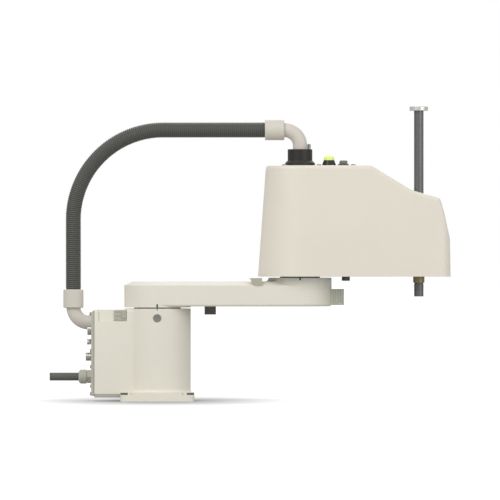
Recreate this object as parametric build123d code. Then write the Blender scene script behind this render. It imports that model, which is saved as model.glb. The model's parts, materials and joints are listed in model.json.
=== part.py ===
from build123d import *
import math
import os

os.makedirs("parts", exist_ok=True)

# Driving dimensions, in millimetres. The origin is on the first axis, in the plane of the mounting face.
# Axes
ELBOW_X = 300.0
QUILL_REACH = 250.0
QUILL_X = ELBOW_X + QUILL_REACH

# Clearances
RUN_GAP = 0.3
FIT_GAP = 0.05
SEAT_GAP = 0.5

# Base plate
PLATE_SIDE = 155.0
PLATE_T = 18.3
PLATE_CORNER_R = 10.0
PLATE_FLOOR_T = 10.0
POCKET_SIDE = 24.5
POCKET_DEPTH = 4.8
POCKET_INNER_R = 10.0
BOLT_PITCH = 130.0
BOLT_HOLE_R = 4.5

# Pedestal
PEDESTAL_R = 70.0
PEDESTAL_TOP_Z = 194.7
PEDESTAL_WALL = 14.0
PEDESTAL_FOOT_R = 7.0
MOTOR_FLANGE_Z = 138.0
MOTOR_FLANGE_T = 12.0
ARM_GAP = 2.3
MARK_W = 1.6
BASE_MARK_H = 4.0
ARM_MARK_H = 7.0
ELBOW_MARK_H = 5.0
MARK_DEPTH = 1.0

# Rear box and panel
BOX_BACK_X = -132.2
BOX_HALF_W = 50.0
BOX_BOTTOM_Z = 7.8
BOX_TOP_Z = 192.6
BOX_WALL = 7.0
BOX_CHAMFER = 8.0
BOX_TOP_R = 4.0
PASSAGE_HALF_W = 26.0
PASSAGE_Z0 = 55.0
PASSAGE_Z1 = 120.0
GASKET_T = 0.8
PANEL_T = 6.0
PANEL_HALF_W = 47.0
PANEL_Z0 = 11.0
PANEL_Z1 = 190.7
PANEL_CHAMFER = 4.0
PANEL_SCREW_Y = 42.5
PANEL_SCREW_Z = (15.8, 72.6, 106.0, 184.0)
PANEL_SCREW_R = 2.0
PANEL_HEAD_R = 3.5
PANEL_HEAD_H = 2.4
GROUND_SCREW_Y = -30.0
GROUND_SCREW_Z = 31.6

# Recess on the side of the rear box
RECESS_X0 = -124.0
RECESS_X1 = -64.0
RECESS_Z = 168.4
RECESS_DEPTH = 3.5
TIE_PLATE_T = 2.0
TIE_PLATE_L = 26.0
TIE_PLATE_H = 22.0
TIE_LUG_L = 9.5
TIE_SLOT_H = 2.2
TIE_SLOT_L = 12.0

# Grease plug in the pedestal
PLUG_Z = 174.7
PLUG_HEAD_R = 8.75
PLUG_SHANK_R = 6.0
PLUG_SHANK_L = 5.0
PLUG_HEAD_T = 1.6
PLUG_SOCKET_R = 5.0
PLUG_SOCKET_DEPTH = 3.0

# Fittings on the rear panel
CONDUIT_Z = 165.5
CONDUIT_X = -177.0
CONDUIT_R = 15.0
CONDUIT_WALL = 2.5
CONDUIT_BEND_R = 33.0
CONDUIT_FLANGE_R = 21.0
CONDUIT_FLANGE_T = 5.0
LOWER_COLLAR_Z0 = 196.0
LOWER_COLLAR_Z1 = 235.0
COLLAR_R = 21.4
SOCKET_DEPTH = 20.0
GLAND_Z = 51.4
GLAND_R = 15.0
GLAND_END_X = -166.0
GLAND_THREAD_R = 12.0
CABLE_R = 8.5
CABLE_END_X = -227.0
CABLE_START_X = -112.0
ROUND_CONNECTOR_Z = 93.5
ROUND_CONNECTOR_R = 8.85
ROUND_CONNECTOR_L = 12.0
WIDE_CONNECTOR_Z = 150.0
WIDE_CONNECTOR_Y = -30.0
WIDE_CONNECTOR_R = 11.0
WIDE_CONNECTOR_L = 8.0
AIR_FITTING_Z = 124.7
AIR_FITTING_Y = 14.0
AIR_FITTING_R = 5.8
AIR_FITTING_L = 9.0
AIR_TUBE_R = 3.0

# Inside the rear box
BOARD_STANDOFF = 34.0
BOARD_T = 1.6
BOARD_HALF_W = 36.0
BOARD_Z0 = 62.0
BOARD_H = 116.0
BOARD_POST_R = 2.5
BOARD_POST_IN_Y = 3.0
BOARD_POST_IN_Z = 4.0
BOARD_SOCKETS = ((20.0, 18.0, 30.0, 6.4), (14.0, 42.0, 62.0, 5.4))
BATTERY_X1 = -78.0
BATTERY_L = 30.0
BATTERY_HALF_W = 30.0
BATTERY_H = 18.0
BATTERY_EDGE_R = 5.0

# Hose
HOSE_R = 16.5
HOSE_Z = 570.4
UPPER_COLLAR_X0 = 226.0
UPPER_COLLAR_X1 = 267.0
HOSE_ROUTE = [
    (-177.0, 215.2),
    (-177.2, 419.0),
    (-148.4, 488.5),
    (-95.3, 541.6),
    (-25.8, 570.4),
    (245.8, 570.5),
]

# Inner arm
ARM_HUB_R = 70.0
ELBOW_HUB_R = 66.3
ARM_BOTTOM_Z = 199.3
ARM_TOP_Z = 251.5
ELBOW_HUB_TOP_Z = 259.5
ELBOW_HUB_STEP = 0.4
ARM_CHAMFER_W = 18.0
ARM_CHAMFER_H = 8.0
ARM_EDGE_R = 5.0
ARM_WALL = 8.0
ARM_ROOF_T = 9.5
ARM_RIB_T = 6.0
ARM_RIB_XS = (110.0, 166.0)
ELBOW_HUB_FILLET = 8.0
ELBOW_FLOOR_T = 8.0

# Stops of both arms
STOP_BLOCK_X = 111.0
STOP_BLOCK_SIDE = 24.0
STOP_BLOCK_H = 17.3
STOP_PAD_ORBIT_R = 96.5
STOP_PAD_R = 8.5
STOP_PAD_H = 9.0
ELBOW_STOP_X0 = 194.0
ELBOW_STOP_X1 = 220.0
ELBOW_STOP_FOOT_X = 204.0
ELBOW_STOP_Z0 = 243.0
ELBOW_STOP_Z1 = 258.5
ELBOW_STOP_IN = 24.0
ELBOW_STOP_PROUD = 1.2
END_BLOCK_L = 26.0
END_BLOCK_HALF_W = 22.0
END_BLOCK_Z0 = 202.0
END_BLOCK_Z1 = 235.8
END_BLOCK_RIB_PITCH = 5.0
END_BLOCK_RIB_DEPTH = 1.2

# Crossed-roller bearings
BEARING_H = 14.0
BEARING_RING_T = 6.7
BASE_ROLLER_D = 6.0
BASE_ROLLER_R = 56.0
ELBOW_ROLLER_D = 5.0
ELBOW_ROLLER_R = 49.0
ROLLER_COUNT = 18
SPIGOT_DEPTH = 21.0
BEARING_SETBACK = 1.6

# Strain-wave gears
GEAR_H = 12.0
BASE_GEAR_R = 36.0
BASE_SPLINE_OUTER_R = 50.0
ELBOW_GEAR_R = 31.0
ELBOW_SPLINE_OUTER_R = 41.0
FLEX_WALL = 1.6
FLEX_BOSS_R = 18.0
FLEX_FLOOR_T = 2.5
GEAR_GAP = 0.4
WAVE_OVAL = 0.6
WAVE_BORE_R = 6.0
WAVE_BORE_COUNT = 4
BASE_WAVE_ORBIT = 19.0
ELBOW_WAVE_ORBIT = 16.0

# Motors
BIG_MOTOR_SIDE = 60.0
BIG_MOTOR_L = 84.0
SMALL_MOTOR_SIDE = 46.0
SMALL_MOTOR_L = 62.0
MOTOR_SHAFT_R = 7.0
SMALL_SHAFT_R = 4.0
MOTOR_SHAFT_BORE = 20.0
SMALL_SHAFT_BORE = 15.0
MOTOR_CORNER = 5.0
MOTOR_CAP_L = 22.0
MOTOR_CAP_INSET = 3.0

# Outer arm cover
COVER_BOTTOM_Z = 262.0
COVER_TOP_Z = 495.7
COVER_WALL = 3.0
COVER_REAR_R = 88.5
COVER_REAR_TOP_R = 71.6
COVER_NOSE_HALF_W = 54.0
COVER_NOSE_TOP_HALF_W = 44.0
COVER_NOSE_R = 25.0
COVER_NOSE_OUT = 66.6
COVER_EDGE_R = 8.0
COVER_SLOPE_BACK = 101.0
COVER_SHOULDER_BACK = 16.4
COVER_SHOULDER_Z = 444.0
COVER_BROW_OUT = 43.6
COVER_BROW_Z = 427.0
COVER_CHEEK_OUT = 52.0
COVER_CHEEK_Z = 400.0
COVER_CHIN_OUT = 64.9
COVER_CHIN_Z = 342.0
WELL_R = 23.0
WELL_FLOOR_Z = 429.0

# Outer arm casting
TRAY_FLOOR_T = 10.0
TRAY_RIM_H = 18.0
TRAY_WALL = 6.0

# Quill, nuts, pulleys and belts
QUILL_R = 10.0
QUILL_BORE_R = 7.0
QUILL_BOTTOM_Z = 220.0
QUILL_TOP_Z = 620.0
QUILL_JOURNAL_L = 26.0
QUILL_RELIEF_DEPTH = 0.5
QUILL_RELIEF_W = 2.0
SPLINE_GROOVE_R = 1.6
SPLINE_GROOVE_COUNT = 3
CAP_R = 19.5
CAP_H = 9.0
CAP_RIM_H = 3.0
BUSH_BOTTOM_Z = 249.5
BUSH_R = 12.0
NUT_R = 17.0
NUT_FLANGE_R = 24.0
NUT_FLANGE_T = 4.0
BEARING_SHELL_R = 30.0
BEARING_SHELL_H = 24.0
PULLEY_W = 14.0
BELT_W = 12.0
BELT_T = 2.0
SPLINE_PULLEY_R = 28.0
BALL_PULLEY_R = 22.0
SMALL_PULLEY_R = 11.0
PULLEY_TEETH_DEPTH = 0.8
PULLEY_RIM = 1.5
MOTOR_BACK = 100.0
MOTOR_Y = 31.0
Z_PLATE_Z = 366.0
R_PLATE_Z = 324.0
BRACKET_T = 8.0
BRACKET_EDGE = 4.0
POST_R = 5.0
POST_PAD_R = 8.0
QUILL_POST_Y = 38.0
QUILL_POST_BACK = 5.0
QUILL_POST_OUT = 38.0
MOTOR_POST_OUT = 30.0
MOTOR_POST_Y = 42.0

# On top of the cover
SWIVEL_FLANGE_R = 31.5
SWIVEL_FLANGE_H = 10.5
SWIVEL_R = 26.0
SWIVEL_TOP_Z = 530.0
SWIVEL_BARREL_R = 21.0
SWIVEL_BARREL_L = 14.0
SWIVEL_NUT_H = 6.0
CLAMP_SCREW_OUT = 19.0
CLAMP_SCREW_R = 3.5
CLAMP_SCREW_H = 11.0
LAMP_OUT = 61.0
LAMP_BASE_R = 14.5
LAMP_BASE_TOP_R = 11.0
LAMP_BASE_H = 11.3
LAMP_LENS_R = 11.0
LAMP_LENS_H = 9.0
LAMP_STEM_R = 6.0
BUTTON_GAP = 4.5
BUTTON_R = 8.6
BUTTON_STEM_R = 5.0
BUTTON_BEZEL_R = 11.5
BUTTON_BEZEL_H = 3.5
BUTTON_BEZEL_FLOOR = 1.0
BUTTON_BARREL_R = 8.0
BUTTON_H = 10.8
BUTTON_TRAVEL = 2.5
PILLAR_R = 5.0
COVER_SCREW_OUTS = (-33.0, 40.0, 112.0)
COVER_SCREW_Y = 44.0
COVER_SCREW_R = 2.5
COVER_HEAD_R = 4.5
COVER_HEAD_H = 2.8


def block(x0, x1, y0, y1, z0, z1):
    middle = Pos((x0 + x1) / 2, (y0 + y1) / 2, (z0 + z1) / 2)
    return middle * Box(x1 - x0, y1 - y0, z1 - z0)


def disc(r, z0, z1, x=0.0, y=0.0):
    return Pos(x, y, (z0 + z1) / 2) * Cylinder(r, z1 - z0)


def ring(r_in, r_out, z0, z1, x=0.0, y=0.0):
    return disc(r_out, z0, z1, x, y) - disc(r_in, z0, z1, x, y)


def disc_x(r, x0, x1, y, z):
    return Pos((x0 + x1) / 2, y, z) * Rot(0, 90, 0) * Cylinder(r, x1 - x0)


def disc_y(r, y0, y1, x, z):
    return Pos(x, (y0 + y1) / 2, z) * Rot(90, 0, 0) * Cylinder(r, y1 - y0)


def hex_x(across, x0, x1, y, z):
    plane = Plane(origin=(x0, y, z), x_dir=(0, 1, 0), z_dir=(1, 0, 0))
    return extrude(plane * RegularPolygon(across / 2, 6, major_radius=False), x1 - x0)


def turned(points, x=0.0, y=0.0):
    """Turn a closed outline of (radius, z) points about the vertical through x, y."""
    face = make_face(Polyline(*[(r, 0, z) for r, z in points], close=True))
    return Pos(x, y, 0) * revolve(face, Axis.Z)


def two_circle_face(x0, r0, x1, r1, z=0.0):
    """The outline round two circles on the X axis, with their tangent lines."""
    tilt = math.acos((r0 - r1) / (x1 - x0))
    c, s = math.cos(tilt), math.sin(tilt)
    upper = [(x0 + r0 * c, r0 * s), (x1 + r1 * c, r1 * s)]
    lower = [(x, -y) for x, y in upper]
    edges = [
        ThreePointArc(upper[0], (x0 - r0, 0), lower[0]),
        Line(lower[0], lower[1]),
        ThreePointArc(lower[1], (x1 + r1, 0), upper[1]),
        Line(upper[1], upper[0]),
    ]
    return Pos(0, 0, z) * make_face(edges)


def corners(pitch):
    half = pitch / 2
    return [(sx * half, sy * half) for sx in (-1, 1) for sy in (-1, 1)]


# Base
def base_plate():
    plate = extrude(RectangleRounded(PLATE_SIDE, PLATE_SIDE, PLATE_CORNER_R), PLATE_T)
    foot = disc(PEDESTAL_R, 0, PEDESTAL_TOP_Z)
    joined = plate + foot
    seam = joined.edges().filter_by(GeomType.CIRCLE).filter_by(
        lambda e: abs(e.center().Z - PLATE_T) < 0.01 and e.radius > PLATE_CORNER_R + 1
    )
    joined = fillet(seam, PEDESTAL_FOOT_R)
    pocket_z = PLATE_T - POCKET_DEPTH
    for cx, cy in corners(PLATE_SIDE):
        square = RectangleRounded(2 * POCKET_SIDE, 2 * POCKET_SIDE, POCKET_INNER_R)
        joined -= Pos(cx, cy, pocket_z) * extrude(square, POCKET_DEPTH + 1)
    for bx, by in corners(BOLT_PITCH):
        joined -= disc(BOLT_HOLE_R, -1, PLATE_T + 1, bx, by)
    return joined


def rear_box_section(inset):
    """The box's outline across X, with its chamfered lower corners."""
    half = BOX_HALF_W - inset
    low, high = BOX_BOTTOM_Z + inset, BOX_TOP_Z - inset
    cut = BOX_CHAMFER - 0.5 * inset
    points = [
        (-half, low + cut),
        (-half + cut, low),
        (half - cut, low),
        (half, low + cut),
        (half, high),
        (-half, high),
    ]
    return make_face(Plane.YZ * Polyline(*points, close=True))


def rear_box(inset, x0, x1):
    body = extrude(Pos(x0, 0, 0) * rear_box_section(inset), x1 - x0)
    if inset == 0:
        top = body.edges().filter_by(Axis.X).sort_by(Axis.Z)[-2:]
        body = fillet(top, BOX_TOP_R)
    return body


def base_casting():
    body = base_plate() + rear_box(0, BOX_BACK_X, -PEDESTAL_R / 2)
    cavity_r = PEDESTAL_R - PEDESTAL_WALL
    ledge_z = PEDESTAL_TOP_Z - BEARING_H - ARM_GAP
    seat_r = BASE_ROLLER_R + SEAT_GAP / 2 + BEARING_RING_T
    body -= disc(cavity_r, PLATE_FLOOR_T, PEDESTAL_TOP_Z + 1)
    body -= disc(seat_r, ledge_z, PEDESTAL_TOP_Z + 1)
    body -= rear_box(BOX_WALL, BOX_BACK_X - 1, -PEDESTAL_R - 1) - disc(PEDESTAL_R, 0, PEDESTAL_TOP_Z)
    body -= block(-PEDESTAL_R - 2, 0, -PASSAGE_HALF_W, PASSAGE_HALF_W, PASSAGE_Z0, PASSAGE_Z1) - disc(
        cavity_r - 1, 0, PEDESTAL_TOP_Z
    )
    flange_r = BIG_MOTOR_SIDE / 2
    body += ring(flange_r, cavity_r + 1, MOTOR_FLANGE_Z, MOTOR_FLANGE_Z + MOTOR_FLANGE_T)
    recess = block(
        RECESS_X0, RECESS_X1, -BOX_HALF_W - 1, -BOX_HALF_W + RECESS_DEPTH, RECESS_Z, BOX_TOP_Z + 1
    )
    body -= recess
    body -= disc_y(PLUG_SHANK_R, -PEDESTAL_R - 1, -PEDESTAL_R + PLUG_SHANK_L, 0, PLUG_Z)
    body -= disc_y(PLUG_HEAD_R, -PEDESTAL_R - 1, -PEDESTAL_R + PLUG_HEAD_T, 0, PLUG_Z)
    mark_y = -PEDESTAL_R + MARK_DEPTH
    mark_z = PEDESTAL_TOP_Z - BASE_MARK_H
    body -= block(-MARK_W / 2, MARK_W / 2, -PEDESTAL_R - 1, mark_y, mark_z, PEDESTAL_TOP_Z + 1)
    for sy in (-1, 1):
        for z in PANEL_SCREW_Z:
            body -= disc_x(PANEL_SCREW_R, BOX_BACK_X - 1, BOX_BACK_X + 9, sy * PANEL_SCREW_Y, z)
    return body


PANEL_FRONT_X = BOX_BACK_X - GASKET_T
PANEL_BACK_X = PANEL_FRONT_X - PANEL_T


def panel_plate(x0, x1):
    return block(x0, x1, -PANEL_HALF_W, PANEL_HALF_W, PANEL_Z0, PANEL_Z1)


def rear_panel():
    body = panel_plate(PANEL_BACK_X, PANEL_FRONT_X)
    top = body.edges().filter_by(Axis.Y).sort_by(Axis.X)[:2].sort_by(Axis.Z)[-1]
    body = chamfer(top, PANEL_CHAMFER)
    for sy in (-1, 1):
        for z in PANEL_SCREW_Z:
            body -= disc_x(PANEL_SCREW_R, PANEL_BACK_X - 1, PANEL_FRONT_X + 1, sy * PANEL_SCREW_Y, z)
    holes = [
        (CONDUIT_R, 0.0, CONDUIT_Z),
        (GLAND_THREAD_R, 0.0, GLAND_Z),
        (ROUND_CONNECTOR_R - 2, 0.0, ROUND_CONNECTOR_Z),
        (WIDE_CONNECTOR_R - 2, WIDE_CONNECTOR_Y, WIDE_CONNECTOR_Z),
        (AIR_TUBE_R, -AIR_FITTING_Y, AIR_FITTING_Z),
        (AIR_TUBE_R, AIR_FITTING_Y, AIR_FITTING_Z),
        (PANEL_SCREW_R, GROUND_SCREW_Y, GROUND_SCREW_Z),
    ]
    for r, y, z in holes:
        body -= disc_x(r, PANEL_BACK_X - 1, PANEL_FRONT_X + 1, y, z)
    return body


def panel_gasket():
    inner = rear_box(BOX_WALL, PANEL_FRONT_X - 1, BOX_BACK_X + 1)
    body = panel_plate(PANEL_FRONT_X, BOX_BACK_X) - inner
    for sy in (-1, 1):
        for z in PANEL_SCREW_Z:
            body -= disc_x(PANEL_SCREW_R, PANEL_FRONT_X - 1, BOX_BACK_X + 1, sy * PANEL_SCREW_Y, z)
    return body


def panel_screw(y, z, length):
    head = disc_x(PANEL_HEAD_R, PANEL_BACK_X - PANEL_HEAD_H, PANEL_BACK_X, y, z)
    shank = disc_x(PANEL_SCREW_R, PANEL_BACK_X, PANEL_BACK_X + length, y, z)
    socket = hex_x(3.0, PANEL_BACK_X - PANEL_HEAD_H - 0.1, PANEL_BACK_X - 0.8, y, z)
    return head + shank - socket


def panel_screws():
    body = panel_screw(GROUND_SCREW_Y, GROUND_SCREW_Z, PANEL_T + 3)
    screws = [body]
    for sy in (-1, 1):
        for z in PANEL_SCREW_Z:
            screws.append(panel_screw(sy * PANEL_SCREW_Y, z, PANEL_T + GASKET_T + 8))
    return Compound(children=screws)


def access_plug():
    front = -PEDESTAL_R
    body = disc_y(PLUG_HEAD_R, front, front + PLUG_HEAD_T, 0, PLUG_Z)
    body += disc_y(PLUG_SHANK_R, front + PLUG_HEAD_T, front + PLUG_SHANK_L, 0, PLUG_Z)
    return body - disc_y(PLUG_SOCKET_R, front - 1, front + PLUG_SOCKET_DEPTH, 0, PLUG_Z)


def tie_plate():
    x1 = RECESS_X1 - 1.0
    x0 = x1 - TIE_PLATE_L
    floor_y = -BOX_HALF_W + RECESS_DEPTH
    z0 = RECESS_Z + 1.0
    z1 = z0 + TIE_PLATE_H
    body = block(x0, x1, floor_y - TIE_PLATE_T, floor_y, z0, z1)
    body += block(x1 - TIE_LUG_L, x1, floor_y - RECESS_DEPTH, floor_y, z0 + 5, z1)
    for k in (0.3, 0.72):
        z = z0 + k * TIE_PLATE_H
        slot_x = x0 + 2.5
        body -= block(slot_x, slot_x + TIE_SLOT_L, floor_y - 9, floor_y + 1, z, z + TIE_SLOT_H)
    return body


def bend(r_out, r_in, centre_x, centre_z, start, sweep_angle):
    """A quarter of a round pipe in the XZ plane, about a centre at the given place."""
    section = Pos(CONDUIT_BEND_R, 0, 0) * (Circle(r_out) - Circle(r_in))
    turned_section = revolve(section, Axis.Y, sweep_angle)
    return Pos(centre_x, 0, centre_z) * Rot(0, start, 0) * turned_section


def lower_conduit_elbow():
    bore_r = CONDUIT_R - CONDUIT_WALL
    centre_x = CONDUIT_X + CONDUIT_BEND_R
    centre_z = CONDUIT_Z + CONDUIT_BEND_R
    entry = disc_x(CONDUIT_R, centre_x, PANEL_FRONT_X + 6, 0, CONDUIT_Z)
    entry -= disc_x(bore_r, centre_x - 1, PANEL_FRONT_X + 7, 0, CONDUIT_Z)
    quarter = bend(CONDUIT_R, bore_r, centre_x, centre_z, 90, 90)
    collar_seat = LOWER_COLLAR_Z1 - SOCKET_DEPTH
    rise = ring(bore_r, CONDUIT_R, centre_z, collar_seat - SEAT_GAP, CONDUIT_X)
    flange = disc_x(CONDUIT_FLANGE_R, PANEL_BACK_X - CONDUIT_FLANGE_T, PANEL_BACK_X, 0, CONDUIT_Z)
    flange -= disc_x(CONDUIT_R - 0.5, centre_x - 1, PANEL_FRONT_X, 0, CONDUIT_Z)
    return entry + quarter + rise + flange


def lower_conduit_collar():
    seat_z = LOWER_COLLAR_Z1 - SOCKET_DEPTH
    body = disc(COLLAR_R, LOWER_COLLAR_Z0, LOWER_COLLAR_Z1, CONDUIT_X)
    body = chamfer(body.edges().filter_by(GeomType.CIRCLE), 1.5)
    body -= disc(HOSE_R + RUN_GAP, seat_z, LOWER_COLLAR_Z1 + 1, CONDUIT_X)
    body -= disc(CONDUIT_R, LOWER_COLLAR_Z0 - 1, seat_z + 1, CONDUIT_X)
    body -= disc(CONDUIT_R + RUN_GAP, LOWER_COLLAR_Z0 - 1, CONDUIT_Z + CONDUIT_BEND_R, CONDUIT_X)
    return body


def cord_path(points):
    """Straight runs with tangent arcs of 0.45 of the shorter run over the tangent of half the turn."""
    vectors = [Vector(x, 0, z) for x, z in points]
    radii = []
    for before, here, after in zip(vectors, vectors[1:], vectors[2:]):
        turn = math.radians((here - before).get_angle(after - here))
        shorter = min((here - before).length, (after - here).length)
        radii.append(0.45 * shorter / math.tan(turn / 2))
    print("hose radii", [round(r, 1) for r in radii])
    return FilletPolyline(*vectors, radius=radii)


def umbilical_hose():
    path = cord_path(HOSE_ROUTE)
    start = Plane(origin=path @ 0, z_dir=path % 0)
    tube = sweep(start * Circle(HOSE_R), path=path)
    print("hose length", round(path.length, 1))
    return tube


def cable_gland():
    thread_end = PANEL_FRONT_X + 8
    nut_x = PANEL_BACK_X - 9
    body = hex_x(2 * GLAND_R - 2, nut_x, PANEL_BACK_X, 0, GLAND_Z)
    body += disc_x(GLAND_THREAD_R, PANEL_BACK_X, thread_end, 0, GLAND_Z)
    dome = disc_x(GLAND_R, GLAND_END_X, nut_x - 1, 0, GLAND_Z)
    dome = chamfer(dome.edges().filter_by(GeomType.CIRCLE).sort_by(Axis.X)[0], 4.0)
    body += disc_x(GLAND_THREAD_R, nut_x - 1, nut_x, 0, GLAND_Z) + dome
    body += hex_x(2 * GLAND_R - 2, PANEL_FRONT_X, PANEL_FRONT_X + 5, 0, GLAND_Z)
    return body - disc_x(CABLE_R + RUN_GAP, GLAND_END_X - 1, thread_end + 1, 0, GLAND_Z)


def power_cable():
    return disc_x(CABLE_R, CABLE_END_X, CABLE_START_X, 0, GLAND_Z)


def round_connector(r, length, y, z):
    shell = disc_x(r, PANEL_BACK_X - length, PANEL_BACK_X, y, z)
    shell -= disc_x(r - 2, PANEL_BACK_X - length - 1, PANEL_BACK_X - 2, y, z)
    core = disc_x(r - 3.5, PANEL_BACK_X - length + 2, PANEL_BACK_X, y, z)
    rear = disc_x(r - 2, PANEL_BACK_X, PANEL_FRONT_X + 5, y, z)
    return shell + core + rear


def panel_connectors():
    signal = round_connector(ROUND_CONNECTOR_R, ROUND_CONNECTOR_L, 0, ROUND_CONNECTOR_Z)
    user = round_connector(WIDE_CONNECTOR_R, WIDE_CONNECTOR_L, WIDE_CONNECTOR_Y, WIDE_CONNECTOR_Z)
    return Compound(children=[signal, user])


def air_fitting(y):
    out = PANEL_BACK_X - AIR_FITTING_L
    body = hex_x(2 * AIR_FITTING_R - 1, PANEL_BACK_X - 4, PANEL_BACK_X, y, AIR_FITTING_Z)
    body += disc_x(AIR_FITTING_R, out, PANEL_BACK_X - 4, y, AIR_FITTING_Z)
    body += disc_x(AIR_TUBE_R, PANEL_BACK_X, PANEL_FRONT_X + 5, y, AIR_FITTING_Z)
    return body - disc_x(AIR_TUBE_R - 1, out - 1, PANEL_FRONT_X + 6, y, AIR_FITTING_Z)


def air_fittings():
    return Compound(children=[air_fitting(-AIR_FITTING_Y), air_fitting(AIR_FITTING_Y)])


BOARD_X = PANEL_FRONT_X + BOARD_STANDOFF


def interface_board():
    """A circuit board on four pillars that stand on the inside of the rear panel."""
    z1 = BOARD_Z0 + BOARD_H
    face_x = BOARD_X + BOARD_T
    body = block(BOARD_X, face_x, -BOARD_HALF_W, BOARD_HALF_W, BOARD_Z0, z1)
    post_y = BOARD_HALF_W - BOARD_POST_IN_Y
    for y in (-post_y, post_y):
        for z in (BOARD_Z0 + BOARD_POST_IN_Z, z1 - BOARD_POST_IN_Z):
            body += disc_x(BOARD_POST_R, PANEL_FRONT_X, BOARD_X, y, z)
    for half_w, low, high, proud in BOARD_SOCKETS:
        body += block(face_x, face_x + proud, -half_w, half_w, BOARD_Z0 + low, BOARD_Z0 + high)
    return body


def battery_pack():
    low = BOX_BOTTOM_Z + BOX_WALL
    x0 = BATTERY_X1 - BATTERY_L
    body = block(x0, BATTERY_X1, -BATTERY_HALF_W, BATTERY_HALF_W, low, low + BATTERY_H)
    return fillet(body.edges().filter_by(Axis.Y), BATTERY_EDGE_R)


# Motors, gears and bearings
def servo_motor(side, length):
    """A square motor that hangs below z 0, its face at z 0."""
    front = extrude(chamfer(Rectangle(side, side).vertices(), MOTOR_CORNER), -(length - MOTOR_CAP_L))
    small = side - 2 * MOTOR_CAP_INSET
    cap = extrude(chamfer(Rectangle(small, small).vertices(), MOTOR_CORNER), -MOTOR_CAP_L)
    return front + Pos(0, 0, -(length - MOTOR_CAP_L)) * cap


def base_motor():
    body = Pos(0, 0, MOTOR_FLANGE_Z) * servo_motor(BIG_MOTOR_SIDE, BIG_MOTOR_L)
    pilot = disc(BIG_MOTOR_SIDE / 2 - FIT_GAP, MOTOR_FLANGE_Z, MOTOR_FLANGE_Z + 3)
    return body + pilot - disc(MOTOR_SHAFT_R + RUN_GAP, MOTOR_FLANGE_Z - 20, MOTOR_FLANGE_Z + 4)


def roller_groove(r, z, d):
    section = Plane.XZ * Pos(r, z) * Rot(0, 0, 45) * Rectangle(d, d)
    return revolve(section, Axis.Z)


def bearing_inner_ring(r, z0, d):
    outer = r - SEAT_GAP / 2
    body = ring(outer - BEARING_RING_T, outer, z0, z0 + BEARING_H)
    return body - roller_groove(r, z0 + BEARING_H / 2, d + 2 * FIT_GAP)


def bearing_outer_ring(r, z0, d):
    inner = r + SEAT_GAP / 2
    body = ring(inner, inner + BEARING_RING_T, z0, z0 + BEARING_H)
    return body - roller_groove(r, z0 + BEARING_H / 2, d + 2 * FIT_GAP)


def bearing_rollers(r, z0, d, x):
    rollers = []
    for i in range(ROLLER_COUNT):
        lean = 45 if i % 2 else -45
        around = Pos(x, 0, z0 + BEARING_H / 2) * Rot(0, 0, 360 * i / ROLLER_COUNT)
        rollers.append(around * Pos(r, 0, 0) * Rot(0, lean, 0) * Cylinder(d / 2, d - FIT_GAP))
    return Compound(children=rollers)


BASE_BEARING_Z = PEDESTAL_TOP_Z - BEARING_H - ARM_GAP
BASE_GEAR_Z = MOTOR_FLANGE_Z + MOTOR_FLANGE_T
BASE_SPIGOT_R = BASE_ROLLER_R - SEAT_GAP / 2 - BEARING_RING_T
ARM_HUB_Z = PEDESTAL_TOP_Z + ARM_GAP
BASE_SPIGOT_Z = ARM_HUB_Z - SPIGOT_DEPTH
ELBOW_BEARING_Z = ELBOW_HUB_TOP_Z - BEARING_H - BEARING_SETBACK
ELBOW_SPIGOT_R = ELBOW_ROLLER_R - SEAT_GAP / 2 - BEARING_RING_T
ELBOW_SPIGOT_Z = ELBOW_BEARING_Z - SEAT_GAP
ELBOW_GEAR_Z = ELBOW_SPIGOT_Z - GEAR_H
ELBOW_FLOOR_Z = ARM_BOTTOM_Z + ELBOW_FLOOR_T


def base_circular_spline():
    return ring(BASE_GEAR_R, BASE_SPLINE_OUTER_R, BASE_GEAR_Z, BASE_GEAR_Z + GEAR_H)


def flexspline(gear_r, open_z, closed_z):
    """A thin cup with its rim at open_z and its floor at closed_z, above or below."""
    r = gear_r - GEAR_GAP
    low, high = min(open_z, closed_z), max(open_z, closed_z)
    step = FLEX_FLOOR_T if closed_z > open_z else -FLEX_FLOOR_T
    cavity_end = closed_z - step
    cup = disc(r, low, high) - disc(r - FLEX_WALL, min(open_z - 1, cavity_end), max(open_z + 1, cavity_end))
    return cup


def base_flexspline():
    return flexspline(BASE_GEAR_R, BASE_GEAR_Z + SEAT_GAP, BASE_SPIGOT_Z)


def wave_plug(gear_r, z0, z1):
    r = gear_r - GEAR_GAP - FLEX_WALL - 2 * RUN_GAP
    return extrude(Pos(0, 0, z0) * Ellipse(r, r - WAVE_OVAL), z1 - z0)


def base_wave_generator():
    z0 = BASE_GEAR_Z + 1
    z1 = BASE_GEAR_Z + GEAR_H - 1
    body = wave_plug(BASE_GEAR_R, z0, z1)
    for i in range(WAVE_BORE_COUNT):
        angle = math.radians(360 * i / WAVE_BORE_COUNT)
        x, y = BASE_WAVE_ORBIT * math.cos(angle), BASE_WAVE_ORBIT * math.sin(angle)
        body -= disc(WAVE_BORE_R, z0 - 1, z1 + 1, x, y)
    return body + disc(MOTOR_SHAFT_R, MOTOR_FLANGE_Z - 18, z1 + 3)


def base_bearing_outer():
    return bearing_outer_ring(BASE_ROLLER_R, BASE_BEARING_Z, BASE_ROLLER_D)


def base_bearing_rollers():
    return bearing_rollers(BASE_ROLLER_R, BASE_BEARING_Z, BASE_ROLLER_D, 0)


def base_bearing_inner():
    return bearing_inner_ring(BASE_ROLLER_R, BASE_BEARING_Z, BASE_ROLLER_D)


# Inner arm
def arm_outline(shrink, z):
    end_r = ELBOW_HUB_R - ELBOW_HUB_STEP - shrink
    return two_circle_face(0, ARM_HUB_R - shrink, ELBOW_X, end_r, z)


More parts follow.
